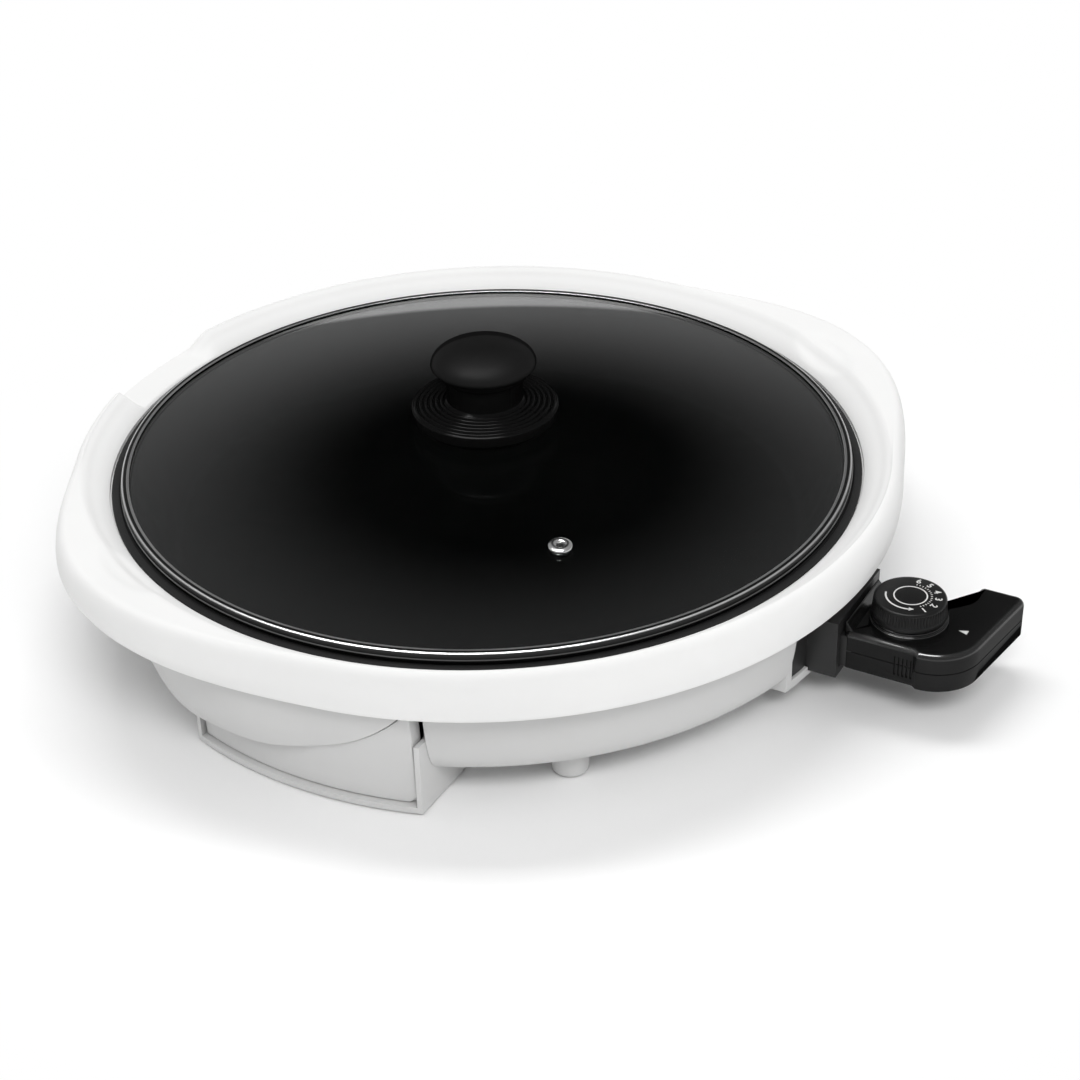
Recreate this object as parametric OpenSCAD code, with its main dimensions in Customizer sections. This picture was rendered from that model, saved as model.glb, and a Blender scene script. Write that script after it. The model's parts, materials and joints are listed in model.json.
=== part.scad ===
// Round electric grill. A non-stick pan hangs in a white plastic body with two
// carrying handles. It has a lift-off glass lid, a grease drawer and a plug-in
// probe thermostat. Millimetres, +Z up, standing on z = 0, thermostat towards +X,
// drawer towards -Y.

/* [Pan] */
// Radius of the pan's flange
pan_r = 198; // [170:1:230]
// Height of the flange's top face above the table
rim_z = 75.6; // [70:0.2:90]
// Depth of the pan from flange to cooking floor
pan_depth = 38; // [34:0.5:39]
// Thickness of the pan casting
pan_t = 3; // [2:0.1:4]
// Width of the wall between the flange's edge and the flat cooking floor
floor_in = 36; // [30:1:52]
// Width of the raised outer band of the flange
flange_band = 4; // [3:0.2:6]
// Height of the step that locates the lid
flange_step = 0.8; // [0.5:0.1:1.5]
// Radius of the grease drain hole
drain_r = 6; // [4:0.5:9]
// Distance of the drain hole from the edge of the cooking floor
drain_in = 24; // [12:1:28]

/* [Ring] */
// Gap between the pan's flange and the ring
rim_gap = 1; // [0.6:0.1:2]
// Width of the plain ring
ring_w = 20.5; // [16:0.5:26]
// Height of the ring's crest above the pan's flange
ring_rise = 10.9; // [8:0.1:14]
// Drop of the ring's lower edge below the pan's flange
ring_drop = 14.6; // [13:0.1:18]
// Drop of the ring's widest line below the pan's flange
ring_mid = 5; // [2:0.2:8]
// Radius of the rounded outer shoulder, measured outwards
shoulder = 6.5; // [4:0.5:9]
// Wall thickness of the white mouldings
wall = 2.5; // [1.8:0.1:3.2]
// Width of the ledge that carries the pan
ledge_w = 6; // [4:0.5:8]
// Bearing of the rear handle's middle
rear_handle = 54.5; // [48:0.5:60]
// Bearing of the front handle's middle
front_handle = 244.5; // [238:0.5:250]
// How far a handle stands out from the plain ring
handle_out = 17.5; // [12:0.5:22]
// How far a handle's outer edge is swept up
handle_lift = 2.7; // [0:0.1:5]
// Half angle of a handle's full-width middle
handle_flat = 1.5; // [1:0.5:10]
// Half angle at which a handle has faded out
handle_end = 34.5; // [28:0.5:42]
// How far a handle's lower edge is tucked in
handle_tuck = 5; // [0:0.5:7]
// Depth of the thumb dimple on a handle
dimple_depth = 2; // [0.5:0.1:2.5]
// Half angle of the thumb dimple
dimple_a = 5.5; // [4:0.5:7]
// Half width of the thumb dimple across the ring
dimple_w = 9.5; // [6:0.5:11]
// Bearing of the finger notch's sloping end
notch_a0 = 169.5; // [165:0.5:174]
// Bearing of the finger notch's upright end
notch_a1 = 192.6; // [188:0.2:196]
// Height of the notch's floor above the pan's flange
notch_z = 1.4; // [0.8:0.1:5]

/* [Bowl] */
// Height of the bowl's underside above the table
bowl_z = 17; // [15:0.5:18]
// Gap between the bowl's wall and the ring's outer edge, at the top
bowl_in = 13.5; // [11:0.1:15]
// Bearing of the swelling over the drawer
hood_a = 262; // [256:0.5:268]
// How far the bowl's wall swells over the drawer
hood_out = 10; // [6:0.5:12]
// Half angle of the swelling's full middle
hood_flat = 5; // [2:0.5:8]
// Half angle at which the swelling has faded out
hood_end = 24; // [20:0.5:28]
// How far the wall swells beside the drawer's high end
hood_side = 5.4; // [3:0.2:6]
// Bearing of the swelling beside the drawer's high end
hood_side_a = 278; // [274:0.5:280]
// Half angle of that swelling's full middle
hood_side_flat = 9; // [6:0.5:10]
// Half angle at which that swelling has faded out
hood_side_end = 15; // [12:0.5:18]
// Distance of the opening in the bowl's floor from the ring's outer edge
plate_in = 59.5; // [56:0.5:66]
// Thickness of the bottom plate
plate_t = 2; // [1.5:0.1:2.4]
// How far the bottom plate laps over the bowl's floor
plate_lap = 7; // [6:0.5:9]
// Distance between the cooling slots
slot_pitch = 22; // [18:1:24]
// Length of the middle cooling slot
slot_len = 44; // [30:1:50]
// Radius of a screw's shank
screw_r = 1.5; // [1.2:0.1:1.8]
// Radius of a screw's head
head_r = 3.1; // [2.6:0.1:3.4]

/* [Feet] */
// Distance of the feet from the ring's outer edge
foot_in = 41.5; // [38:0.5:52]
// Bearing of the feet either side of the thermostat
foot_a = 48; // [42:0.5:54]
// Radius of a foot at its lower end
foot_r = 9; // [7:0.5:11]
// Thickness of a rubber foot pad
pad_t = 1.6; // [1:0.1:3]

/* [Drawer] */
// Distance of the drawer's middle from the pan's axis, towards the thermostat
drawer_x = 10; // [4:0.5:16]
// Half width of the drawer's front panel
drawer_hw = 61; // [54:0.5:64]
// Distance of the bowed front panel's lower edge from the ring's outer edge
drawer_in = 15.5; // [14.5:0.5:18.5]
// How far the panel leans out towards its top
drawer_lean = 3.4; // [0:0.2:4]
// Thickness of the front panel
panel_t = 3; // [2:0.1:4]
// Length of the grease tray behind the panel
tray_len = 124; // [90:1:130]
// Height of the tray's side walls
tray_h = 15; // [11:0.5:15.5]
// Gap between the drawer and its housing
drawer_gap = 1.2; // [0.8:0.1:2]
// Depth of the panel's return beside the cheeks
panel_return = 8; // [5:0.5:9]
// Width of the nick in the panel's lower corner
panel_nick = 3.6; // [2:0.2:4]
// Height of the panel at its low end
panel_low = 20.6; // [20.4:0.2:22]
// Even rise of the panel's top edge from end to end
panel_slope = 10.6; // [8:0.2:11]
// Further rise of the top edge towards its high end
panel_climb = 29.1; // [26:0.1:29.4]
// Height of the cheek beside the panel's high end
cheek_h = 40; // [34:0.5:44]
// Gap under the drawer housing
housing_lift = 1; // [0.6:0.1:2]
// Thickness of the drawer housing's floor
housing_floor = 3.4; // [2.4:0.1:4]
// How far the housing's floor stands out past the panel
housing_lip = 3; // [1:0.5:4]
// Width of the tabs that hold the housing under the bowl
tab_w = 12; // [10:0.5:14]
// Length of those tabs
tab_len = 48; // [40:1:60]

/* [Heater and socket] */
// Distance of the heating element's loop from the edge of the cooking floor
element_in = 50; // [42:1:66]
// Radius of the sheathed heating tube
tube_r = 3.75; // [3:0.05:4.2]
// Half distance between the two terminals
pin_y = 14; // [13:0.5:16]
// Radius of a terminal pin
pin_r = 3; // [2.4:0.1:3.4]
// Distance of the shroud's outer face from the ring's outer edge
shroud_in = 6.5; // [1:0.5:11]
// Length of the terminal shroud
shroud_len = 27; // [24:0.5:30]
// Half width of the terminal shroud
shroud_hw = 28; // [26:0.5:32]
// Half height of the terminal shroud
shroud_hh = 16; // [14.5:0.2:16.4]
// Height of the shroud's middle above the pins
shroud_up = 2; // [1.5:0.1:3]
// Wall thickness of the terminal shroud
shroud_t = 3.6; // [2.5:0.1:4.5]
// Half height of the pocket the plug goes into
pocket_hh = 9.8; // [8.6:0.1:10]
// Half width of the flange behind the shroud
flange_hw = 42.7; // [38:0.1:45]
// Distance of the white frame's bowed outer face from the ring's outer edge
frame_in = 19; // [16.5:0.5:21.5]
// Width of the white frame around the flange
frame_t = 4.3; // [3:0.1:6]
// Clearance between parts that plug together
plug_gap = 0.8; // [0.5:0.1:1.2]

/* [Thermostat] */
// Height of the controller's case
case_h = 21.4; // [20.6:0.2:24]
// Length of the controller's case along the plug direction
case_len = 70.8; // [66:0.2:76]
// Half width of the case at its outer corner
case_hw = 25.5; // [25:0.1:28]
// How far the near side is set back from the outer corner
case_step = 1.9; // [0.8:0.1:2]
// Radius of the rounded outer corner
case_corner = 25; // [18:0.5:28]
// How far the outer side slopes out towards the cord
case_slant = 6.5; // [3:0.5:8]
// How far the cord tail reaches past the case's far side
tail_out = 22; // [17:0.5:25]
// Radius of the hollow between the case and the cord tail
tail_fillet = 10; // [6:0.5:12]
// Width of the cord tail
tail_w = 24; // [18:0.5:28]
// Width of the polished bevel round the top
case_bevel = 2.4; // [1:0.1:3]
// Wall thickness of the case
case_t = 2.2; // [1.6:0.1:2.8]
// Distance from the shroud to the dial's axis
dial_x = 26.3; // [25:0.1:28]
// Radius of the dial
dial_r = 18.8; // [16:0.1:19.6]
// Height of the knurled dial
dial_h = 10.6; // [8:0.2:14]
// Number of fine ribs round the dial
dial_ribs = 72; // [48:1:90]
// Depth of the dial's ribs
rib_depth = 0.5; // [0.3:0.1:0.8]
// Height of the collar under the dial
collar_h = 4; // [3:0.2:6]
// Length of the temperature probe beyond the plug
probe_len = 62; // [50:1:66]
// Radius of the temperature probe
probe_r = 3; // [2.4:0.1:3]

/* [Lid] */
// Gap between the lid's steel band and the step of the pan's flange
lid_fit = 1.2; // [0.8:0.1:3]
// Height of the steel band
band_h = 6.5; // [6.4:0.1:8]
// Width of the steel band
band_w = 5; // [4:0.1:7]
// Thickness of the steel band
band_t = 0.8; // [0.5:0.1:1]
// Thickness of the glass
glass_t = 4; // [3:0.1:4.2]
// Rise of the glass dome
dome_rise = 17; // [10:0.5:30]
// Gap between the closed lid and the pan's flange
lid_gap = 0.3; // [0.2:0.05:0.5]
// Distance of the steam vent from the edge of the glass
vent_in = 70.1; // [40:0.1:100]
// Bearing of the steam vent
vent_a = 317; // [0:1:360]
// Radius of the steam vent's eyelet
vent_r = 6; // [5:0.1:8]

/* [Knob] */
// Radius of the knob's ridged flange
knob_base_r = 38.7; // [34:0.1:44]
// Height of the flange's edge above the glass
knob_base_h = 11.2; // [9:0.2:14]
// Height of the step under the flange
knob_lift = 4; // [2:0.2:5]
// Radius of the knob's neck
knob_neck_r = 20; // [16:0.5:22]
// Height of the neck between flange and cap
knob_neck_h = 15.4; // [10:0.2:18]
// Radius of the knob's cap
knob_cap_r = 27.7; // [25:0.1:33]
// Height of the knob's cap
knob_cap_h = 19; // [16:0.5:24]
// Number of ridges on the flange
knob_ridges = 6; // [4:1:8]

/* [Hidden] */
// Heights built on one another
band_z = rim_z - flange_step + lid_gap;
floor_z = rim_z - pan_depth;
axis_z = floor_z - pan_t - tube_r - 0.25;
ring_top = rim_z + ring_rise;
ring_low = rim_z - ring_drop;
ring_wide = rim_z - ring_mid;
ledge_z = rim_z - 2.2;
flange_low = ring_low + 1;
bowl_floor = bowl_z + wall;
glass_z = band_z + band_t + 0.1;
dome_top = glass_z + glass_t + dome_rise;
knob_rise = 2.2;
neck_top = dome_top + knob_base_h + knob_rise + knob_neck_h;
case_z = axis_z - case_h / 2 + 0.7;
case_top = case_z + case_h;
case_split = case_z + case_h / 2;
dial_z = case_top + collar_h + 0.3;
drawer_z = housing_lift + housing_floor + 0.5;
// Radii and plan sizes built on one another
ring_in = pan_r + rim_gap;
ring_r = ring_in + ring_w;
floor_r = pan_r - floor_in;
drain_y = floor_r - drain_in;
element_r = floor_r - element_in;
plate_r = ring_r - plate_in;
foot_pcr = ring_r - foot_in;
drawer_r = ring_r - drawer_in;
shroud_x = ring_r - shroud_in;
frame_r = ring_r - frame_in;
lid_r = pan_r - flange_band - lid_fit;
glass_r = lid_r - band_t - 0.4;
vent_d = glass_r - vent_in;
dome_rad = (glass_r * glass_r + dome_rise * dome_rise) / (2 * dome_rise);
case_x0 = shroud_x + 1;
case_x1 = case_x0 + case_len;
case_near = case_hw - case_step;
case_far = case_hw - 1;
corner_x = case_x1 - case_slant - case_corner;
tail_y = case_far + tail_out;
dial_at = shroud_x + dial_x;
nose_x0 = shroud_x - shroud_len + shroud_t + 2;
housing_hw = drawer_hw + drawer_gap + wall;
lip_r = drawer_r + housing_lip;
tray_y0 = -(drawer_r - panel_t);
tray_y1 = tray_y0 + tray_len;
housing_y1 = tray_y1 + 3;
shroud_x0 = shroud_x - shroud_len;
shroud_z = axis_z + shroud_up;
flange_z0 = shroud_z - shroud_hh + 2.6;
flange_z1 = shroud_z + shroud_hh + 2.6;
frame_hw = flange_hw + 0.3 + frame_t;
frame_z0 = flange_z0 - 0.3 - frame_t - 0.8;
frame_z1 = flange_z1 + 0.3 + frame_t;
nose_hw = shroud_hw - shroud_t - plug_gap;
nose_hh = pocket_hh - plug_gap;
plate_screw_at = [18, 78, 102, 162, 205, 335];

// Outline of the ring and the bowl
function ease(t) = t <= 0 ? 0 : t >= 1 ? 1 : t * t * (3 - 2 * t);
function away(a, b) = abs((a - b + 540) % 360 - 180);
function fade(a, b, flat, end) = ease((end - away(a, b)) / (end - flat));
function handle(a) = fade(a, rear_handle, handle_flat, handle_end)
    + fade(a, front_handle, handle_flat, handle_end);
function swell(a) = let (m = hood_out * fade(a, hood_a, hood_flat, hood_end),
    k = fade(a, hood_side_a, hood_side_flat, hood_side_end), n = hood_side * k)
    (m + n + sqrt((m - n) * (m - n) + k * k)) / 2;
function ring_out(a) = ring_r + handle_out * handle(a);
function tuck(a) = handle_tuck * handle(a);
function notch(a) = ease((a - notch_a0) / 5) * (1 - ease((a - notch_a1 + 1.4) / 1.4));
function dent(a, b, r) = max(0, 1 - pow(away(a, b) / dimple_a, 2) - pow((r - ring_in - 12) / dimple_w, 2));
function dimple(a, r) = dimple_depth * pow(dent(a, rear_handle, r) + dent(a, front_handle, r), 0.7);

// Bearings at which the ring's section is set out, closer at the notch and dimples
function near_detail(a) = away(a, rear_handle) < dimple_a + 1.6 || away(a, front_handle) < dimple_a + 1.6
    || away(a, notch_a0 + 2.5) < 4.4 || away(a, notch_a1 - 0.8) < 3;
function sorted(v) = len(v) < 2 ? v : let (p = v[floor(len(v) / 2)])
    concat(sorted([for (x = v) if (x < p) x]), [p], sorted([for (x = v) if (x > p) x]));
ring_at = sorted(concat(
    [for (a = [0:3:357]) if (!near_detail(a)) a],
    [for (d = [-1:0.25:1]) rear_handle + d * (dimple_a + 0.5)],
    [for (d = [-1:0.25:1]) front_handle + d * (dimple_a + 0.5)],
    [for (d = [0:1:5]) notch_a0 + d],
    [for (d = [-1.4:0.35:0.1]) notch_a1 + d]));
bowl_at = [for (a = [0:2:358]) if (a % 4 == 0 || away(a, hood_a + 4) < 32) a];

// Ring section at bearing a, up the inside, over the crest, down the outside and
// back along the hollow inner face
function lifted(p, a) = let (t = max(0, (p[0] - ring_in) / (ring_out(a) - ring_in)))
    [p[0], p[1] + handle_lift * handle(a) * t];
function cut_down(p, z, a) = [p[0], p[1] - notch(a) * max(0, p[1] - z)];
function dented(p, a) = [p[0], p[1] - dimple(a, p[0])];
function ring_skin(a) = let (o = ring_out(a), c0 = ring_in + 13.2, c1 = o - shoulder, k = tuck(a)) concat(
    [[ring_in, rim_z + 0.3], [ring_in + 1, rim_z + 1.2], [ring_in + 5, rim_z + 4.7],
     [ring_in + 8.6, ring_top - 3.2], [ring_in + 11, ring_top - 1.3]],
    [for (t = [0, 0.35, 0.7]) [c0 + t * (c1 - c0), ring_top - 0.45 + 0.45 * t]],
    [for (u = [0:18:90]) [c1 + shoulder * sin(u), ring_wide + (ring_top - ring_wide) * cos(u)]],
    [[o - 0.4 - 0.3 * k, (ring_wide + ring_low) / 2], [o - 1.2 - 0.8 * k, ring_low + 1],
     [o - 2.2 - k, ring_low]]);
function ring_back(a) = let (o = ring_out(a)) [
    [o - 2.2 - wall - tuck(a), ring_low], [o - wall - 0.3, ring_wide], [o - shoulder, ring_top - wall],
    [ring_in + 13.2, ring_top - wall - 0.3], [ring_in + 8, ring_top - 4.4 - wall],
    [ring_in + wall + 0.8, rim_z - 0.6]];
function ring_foot() = [
    [ring_in + wall + 0.8, ledge_z - 5], [ring_in, ledge_z - 5], [ring_in, ledge_z - wall],
    [ring_in - ledge_w, ledge_z - wall], [ring_in - ledge_w, ledge_z], [ring_in, ledge_z]];
function ring_section(a) = concat(
    [for (p = ring_skin(a)) dented(cut_down(lifted(p, a), rim_z + notch_z, a), a)],
    [for (p = ring_back(a)) dented(cut_down(lifted(p, a), rim_z + notch_z - wall, a), a)],
    ring_foot());

// Bowl section at bearing a, from the lip round its floor up the outside to the
// flange under the ring, then down the inside
function bowl_wall(a, inset) = let (r = ring_r - bowl_in + swell(a) - inset, h = flange_low - bowl_z) [
    for (t = [[21, 0], [14.5, 0.012], [9.5, 0.05], [6.4, 0.12],
              [4.3, 0.22], [2.8, 0.36], [1.5, 0.55], [0.6, 0.78]])
    [r - t[0], bowl_z + t[1] * h]];
function bowl_rim(a) = let (r = ring_r - bowl_in + swell(a), l = handle_lift * handle(a),
    o = max(ring_out(a) - 2.7 - wall - tuck(a), r + 2)) [
    [r, flange_low + l], [o, flange_low + l], [o, flange_low + l + wall], [r - wall, flange_low + l + wall]];
function bowl_section(a) = concat([[plate_r, bowl_z]], bowl_wall(a, 0), bowl_rim(a),
    [for (i = [7:-1:0]) let (p = bowl_wall(a, wall)[i], q = bowl_wall(a, 0)[i])
        i > 3 ? p : [p[0] + wall - wall * [0.05, 0.35, 0.65, 0.85][i], q[1] + wall * [1, 0.93, 0.7, 0.4][i]]],
    [[plate_r, bowl_z + wall]]);

// Closed loft through sections set out round the axis
function reversed(v) = [for (i = [len(v) - 1:-1:0]) v[i]];
module loft(at, secs) {
    n = len(at);
    m = len(secs[0]);
    pts = [for (i = [0:n - 1]) for (p = secs[i]) [p[0] * cos(at[i]), p[0] * sin(at[i]), p[1]]];
    skin = [for (i = [0:n - 1]) for (j = [0:m - 1]) for (t = [0, 1])
        let (a = i * m + j, b = i * m + (j + 1) % m,
             c = ((i + 1) % n) * m + (j + 1) % m, d = ((i + 1) % n) * m + j)
        t == 0 ? [a, d, c] : [a, c, b]];
    polyhedron(pts, skin);
}

// Upper edge of the drawer's panel, climbing along the swelling's lower edge
function panel_top(x) = let (t = max(0, (x + drawer_hw + 4) / (2 * drawer_hw + 4)))
    panel_low + panel_slope * t + panel_climb * pow(t, 4.6);
function panel_edge(grow, hw, nick) = concat(
    [[-hw, -20], [hw - nick, -20], [hw - nick, drawer_z], [hw, drawer_z + nick]],
    [for (t = [1:-0.02:0.7]) [t * hw, min(panel_top(t * hw) + grow, flange_low - 1)]],
    [for (t = [0.6:-0.1:-1]) [t * hw, panel_top(t * hw) + grow]]);

// Controller outline, inset by e, anticlockwise from the near inner corner
function arc(x, y, r, a0, a1, n) = [for (i = [0:n]) let (a = a0 + (a1 - a0) * i / n)
    [x + r * cos(a), y + r * sin(a)]];
function corner(e) = max(0.3, 3 - e);
function case_pts(e) = concat(
    arc(case_x0 + 3, -case_near + 3, corner(e), 180, 270, 4),
    [[corner_x - 2.4, -case_near + min(e, 2.7)]],
    arc(corner_x, -case_hw + case_corner, case_corner - e, 270, 352, 14),
    arc(case_x1 - 5, tail_y - 5, 5 - e, -8, 90, 6),
    arc(case_x1 - tail_w + 3, tail_y - 3, corner(e), 90, 180, 4),
    arc(case_x1 - tail_w - tail_fillet, case_far + tail_fillet, tail_fillet + e, 0, -90, 10),
    arc(case_x0 + 3, case_far - 3, corner(e), 90, 180, 4));
module case_slab(z0, z1, e) {
    translate([0, 0, z0])
        linear_extrude(height = z1 - z0)
            polygon(case_pts(e));
}

// Where the pan's axis lies so that the whole grill is centred on the origin
turn = [for (a = [0:1:359]) a];
x_low = min([for (a = turn) ring_out(a) * cos(a)]);
y_low = min([for (a = turn) ring_out(a) * sin(a)]);
y_high = max([for (a = turn) ring_out(a) * sin(a)]);
axis_x = -(case_x1 + x_low) / 2;
axis_y = -(y_low + y_high) / 2;
module placed() {
    translate([axis_x, axis_y, 0]) children();
}

white = [0.93, 0.93, 0.92];
black = [0.05, 0.05, 0.055];
steel = [0.72, 0.73, 0.74];
brass = [0.78, 0.62, 0.3];
grey = [0.2, 0.2, 0.2];

// White ring round the pan, hollow underneath, with handles, dimples and notch
module top_ring() {
    color(white) placed()
        loft(ring_at, [for (a = ring_at) ring_section(a)]);
}

// White bowl under the ring, open at the drawer and at the terminal socket
module base_bowl() {
    color(white) placed()
        difference() {
            loft(bowl_at, [for (a = bowl_at) reversed(bowl_section(a))]);
            translate([drawer_x, housing_y1 - wall, 0])
                rotate([90, 0, 0])
                    linear_extrude(height = drawer_r)
                        polygon(panel_edge(0.8, housing_hw + 0.3, 0.1));
            translate([shroud_x0 - 1, -frame_hw - 0.3, frame_z0 - 0.3])
                cube([60, 2 * frame_hw + 0.6, frame_z1 - frame_z0 + 0.6]);
            for (a = plate_screw_at)
                rotate([0, 0, a])
                    translate([plate_r + plate_lap / 2, 0, 0])
                        cylinder(r = screw_r + 0.2, h = 40, $fn = 32);
        }
}

// Bottom plate inside the bowl, slotted for cooling, open over the drawer
module bottom_plate() {
    color(white) placed()
        difference() {
            translate([0, 0, bowl_floor + 0.1])
                cylinder(r = plate_r + plate_lap, h = plate_t, $fn = 180);
            translate([drawer_x - housing_hw - 0.3, -300, 0])
                cube([2 * housing_hw + 0.6, 300 + housing_y1 - wall, 60]);
            for (a = plate_screw_at)
                rotate([0, 0, a])
                    translate([plate_r + plate_lap / 2, 0, 0])
                        cylinder(r = screw_r + 0.2, h = 40, $fn = 32);
            for (p = housing_screw_at())
                translate([p[0], p[1], 0])
                    cylinder(r = screw_r + 0.2, h = 40, $fn = 32);
            for (x = [-3:3])
                translate([x * slot_pitch, 40, 0])
                    slot(4, slot_len - 4 * abs(x));
        }
}
module slot(w, l) {
    translate([-w / 2, -l / 2, 0])
        cube([w, l, 60]);
    for (y = [-l / 2, l / 2])
        translate([0, y, 0])
            cylinder(r = w / 2, h = 60, $fn = 32);
}
function housing_screw_at() = [for (x = [-1, 1]) for (t = [0.25, 0.75])
    [drawer_x + x * (housing_hw + tab_w / 2 + 1), housing_y1 - t * tab_len]];

// Screws that hold the bottom plate to the bowl
module plate_screws() {
    color(steel) placed()
        for (a = plate_screw_at)
            rotate([0, 0, a])
                translate([plate_r + plate_lap / 2, 0, bowl_z])
                    screw();
}
module screw() {
    difference() {
        union() {
            translate([0, 0, -2])
                cylinder(r = head_r, h = 2, $fn = 32);
            translate([0, 0, -0.5])
                cylinder(r = screw_r, h = wall + plate_t + 1.5, $fn = 32);
        }
        for (q = [0, 90])
            rotate([0, 0, q])
                translate([-0.65 * head_r, -0.4, -3])
                    cube([1.3 * head_r, 0.8, 2]);
    }
}

// White housing the drawer runs in, with cheeks beside the panel
module drawer_housing() {
    front = lip_r + 10;
    cheek_y = pan_r - 20;
    color(white) placed()
        difference() {
            translate([drawer_x, 0, 0]) union() {
                intersection() {
                    translate([0, 0, housing_lift])
                        cylinder(r = lip_r, h = housing_floor, $fn = 180);
                    translate([-housing_hw, -front, 0])
                        cube([2 * housing_hw, front + housing_y1, 20]);
                }
                intersection() {
                    translate([0, 0, housing_lift])
                        cylinder(r = lip_r, h = 80, $fn = 180);
                    union() {
                        for (x = [-housing_hw, housing_hw - wall])
                            translate([x, -front, housing_lift])
                                cube([wall, front + housing_y1, bowl_floor - housing_lift]);
                        translate([housing_hw - wall, -front, housing_lift])
                            cube([wall, front - cheek_y, cheek_h - housing_lift]);
                        translate([-housing_hw, -front, housing_lift])
                            cube([wall, front - cheek_y, panel_low - housing_lift]);
                    }
                }
                translate([-housing_hw, housing_y1 - wall, housing_lift])
                    cube([2 * housing_hw, wall, bowl_floor - housing_lift]);
                for (x = [-housing_hw - tab_w, housing_hw - 1])
                    translate([x, housing_y1 - tab_len, bowl_floor - wall])
                        cube([tab_w + 1, tab_len, wall]);
            }
            for (p = housing_screw_at())
                translate([p[0], p[1], 0])
                    cylinder(r = screw_r + 0.2, h = 40, $fn = 32);
        }
}

// Screws that hold the drawer housing to the bottom plate
module housing_screws() {
    color(steel) placed()
        for (p = housing_screw_at())
            translate([p[0], p[1], bowl_floor - wall])
                screw();
}

// Tapered peg feet
module feet() {
    color(white) placed()
        for (a = [foot_a, 180 - foot_a, 180 + foot_a, -foot_a])
            rotate([0, 0, a])
                translate([foot_pcr, 0, pad_t - 0.6])
                    difference() {
                        cylinder(r1 = foot_r, r2 = foot_r + 1, h = bowl_z - pad_t + 0.6, $fn = 64);
                        translate([0, 0, -1])
                            cylinder(r = foot_r - 1.5, h = 1.6, $fn = 64);
                    }
}

// Rubber pads let into the feet
module foot_pads() {
    color(grey) placed()
        for (a = [foot_a, 180 - foot_a, 180 + foot_a, -foot_a])
            rotate([0, 0, a])
                translate([foot_pcr, 0, 0])
                    cylinder(r = foot_r - 1.6, h = pad_t, $fn = 64);
}

// Wall and stepped flange of the black non-stick pan
module pan() {
    wt = rim_z - flange_step;
    color(black) placed()
        rotate_extrude($fn = 180)
            polygon([[floor_r, floor_z], [floor_r + 3.4, floor_z + 0.5],
                [floor_r + 6, floor_z + 2], [floor_r + 8, floor_z + 4.4], [pan_r - 13.6, wt - 4.2],
                [pan_r - 11.9, wt - 1.4], [pan_r - 10.6, wt - 0.3], [pan_r - 9, wt],
                [pan_r - flange_band - 0.6, wt], [pan_r - flange_band, rim_z], [pan_r - 0.5, rim_z],
                [pan_r, rim_z - 0.5], [pan_r, ledge_z + 0.4], [pan_r - 0.4, ledge_z],
                [pan_r - 8.2, ledge_z], [pan_r - 9.8, ledge_z - 1.6],
                [floor_r + 10.8, floor_z + 3.2], [floor_r + 8.2, floor_z - 0.2],
                [floor_r + 5, floor_z - 2.2], [floor_r + 1, floor_z - pan_t], [floor_r, floor_z - pan_t]]);
}

// Cooking floor of the pan, with a drain hole over the drawer
module pan_floor() {
    color(black) placed()
        difference() {
            translate([0, 0, floor_z - pan_t])
                cylinder(r = floor_r - 0.1, h = pan_t, $fn = 180);
            translate([drawer_x, -drain_y, floor_z - 10])
                cylinder(r = drain_r, h = 20, $fn = 64);
            translate([drawer_x, -drain_y, floor_z - 1])
                cylinder(r1 = drain_r, r2 = drain_r + 1.6, h = 1.6, $fn = 64);
        }
}

// Sheathed heating tube in a loop under the pan, with two cold legs
module heating_element() {
    turn_a = asin(pin_y / element_r);
    leg_x = element_r * cos(turn_a) - tube_r - 1;
    color(grey) placed()
        translate([0, 0, axis_z])
            union() {
                rotate([0, 0, turn_a])
                    rotate_extrude(angle = 360 - 2 * turn_a, $fn = 180)
                        translate([element_r, 0])
                            circle(r = tube_r, $fn = 48);
                for (y = [-pin_y, pin_y])
                    translate([leg_x, y, 0])
                        rotate([0, 90, 0])
                            cylinder(r = tube_r + 0.2, h = shroud_x0 - leg_x, $fn = 48);
            }
}

// Steel straps that hold the heating tube against the pan
module element_straps() {
    color(steel) placed()
        for (a = [75, 180, 285])
            rotate([0, 0, a])
                translate([element_r, 0, axis_z])
                    difference() {
                        translate([-tube_r - 6.4, -7, -tube_r - 1.5])
                            cube([2 * tube_r + 12.8, 14, 2 * tube_r + 1.75]);
                        translate([-tube_r - 0.3, -8, -tube_r - 0.3])
                            cube([2 * tube_r + 0.6, 16, 40]);
                        for (x = [-tube_r - 7.5, tube_r + 1.5])
                            translate([x, -8, -tube_r - 3])
                                cube([6, 16, 2 * tube_r + 2]);
                    }
}

// Terminal pins in the socket
module terminal_pins() {
    color(steel) placed()
        for (y = [-pin_y, pin_y])
            translate([shroud_x0, y, axis_z])
                rotate([0, 90, 0])
                    union() {
                        cylinder(r = pin_r, h = shroud_len - 9, $fn = 48);
                        translate([0, 0, shroud_len - 9])
                            cylinder(r1 = pin_r, r2 = pin_r - 1.2, h = 2, $fn = 48);
                    }
}

// Steel sleeve under the pan that takes the probe
module probe_sleeve() {
    color(steel) placed()
        translate([nose_x0 - probe_len - 4, 0, axis_z])
            rotate([0, 90, 0])
                difference() {
                    cylinder(r = tube_r + 0.25, h = shroud_x0 - nose_x0 + probe_len + 4, $fn = 64);
                    translate([0, 0, 1.5])
                        cylinder(r = probe_r + 0.35, h = 200, $fn = 64);
                }
}

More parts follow.
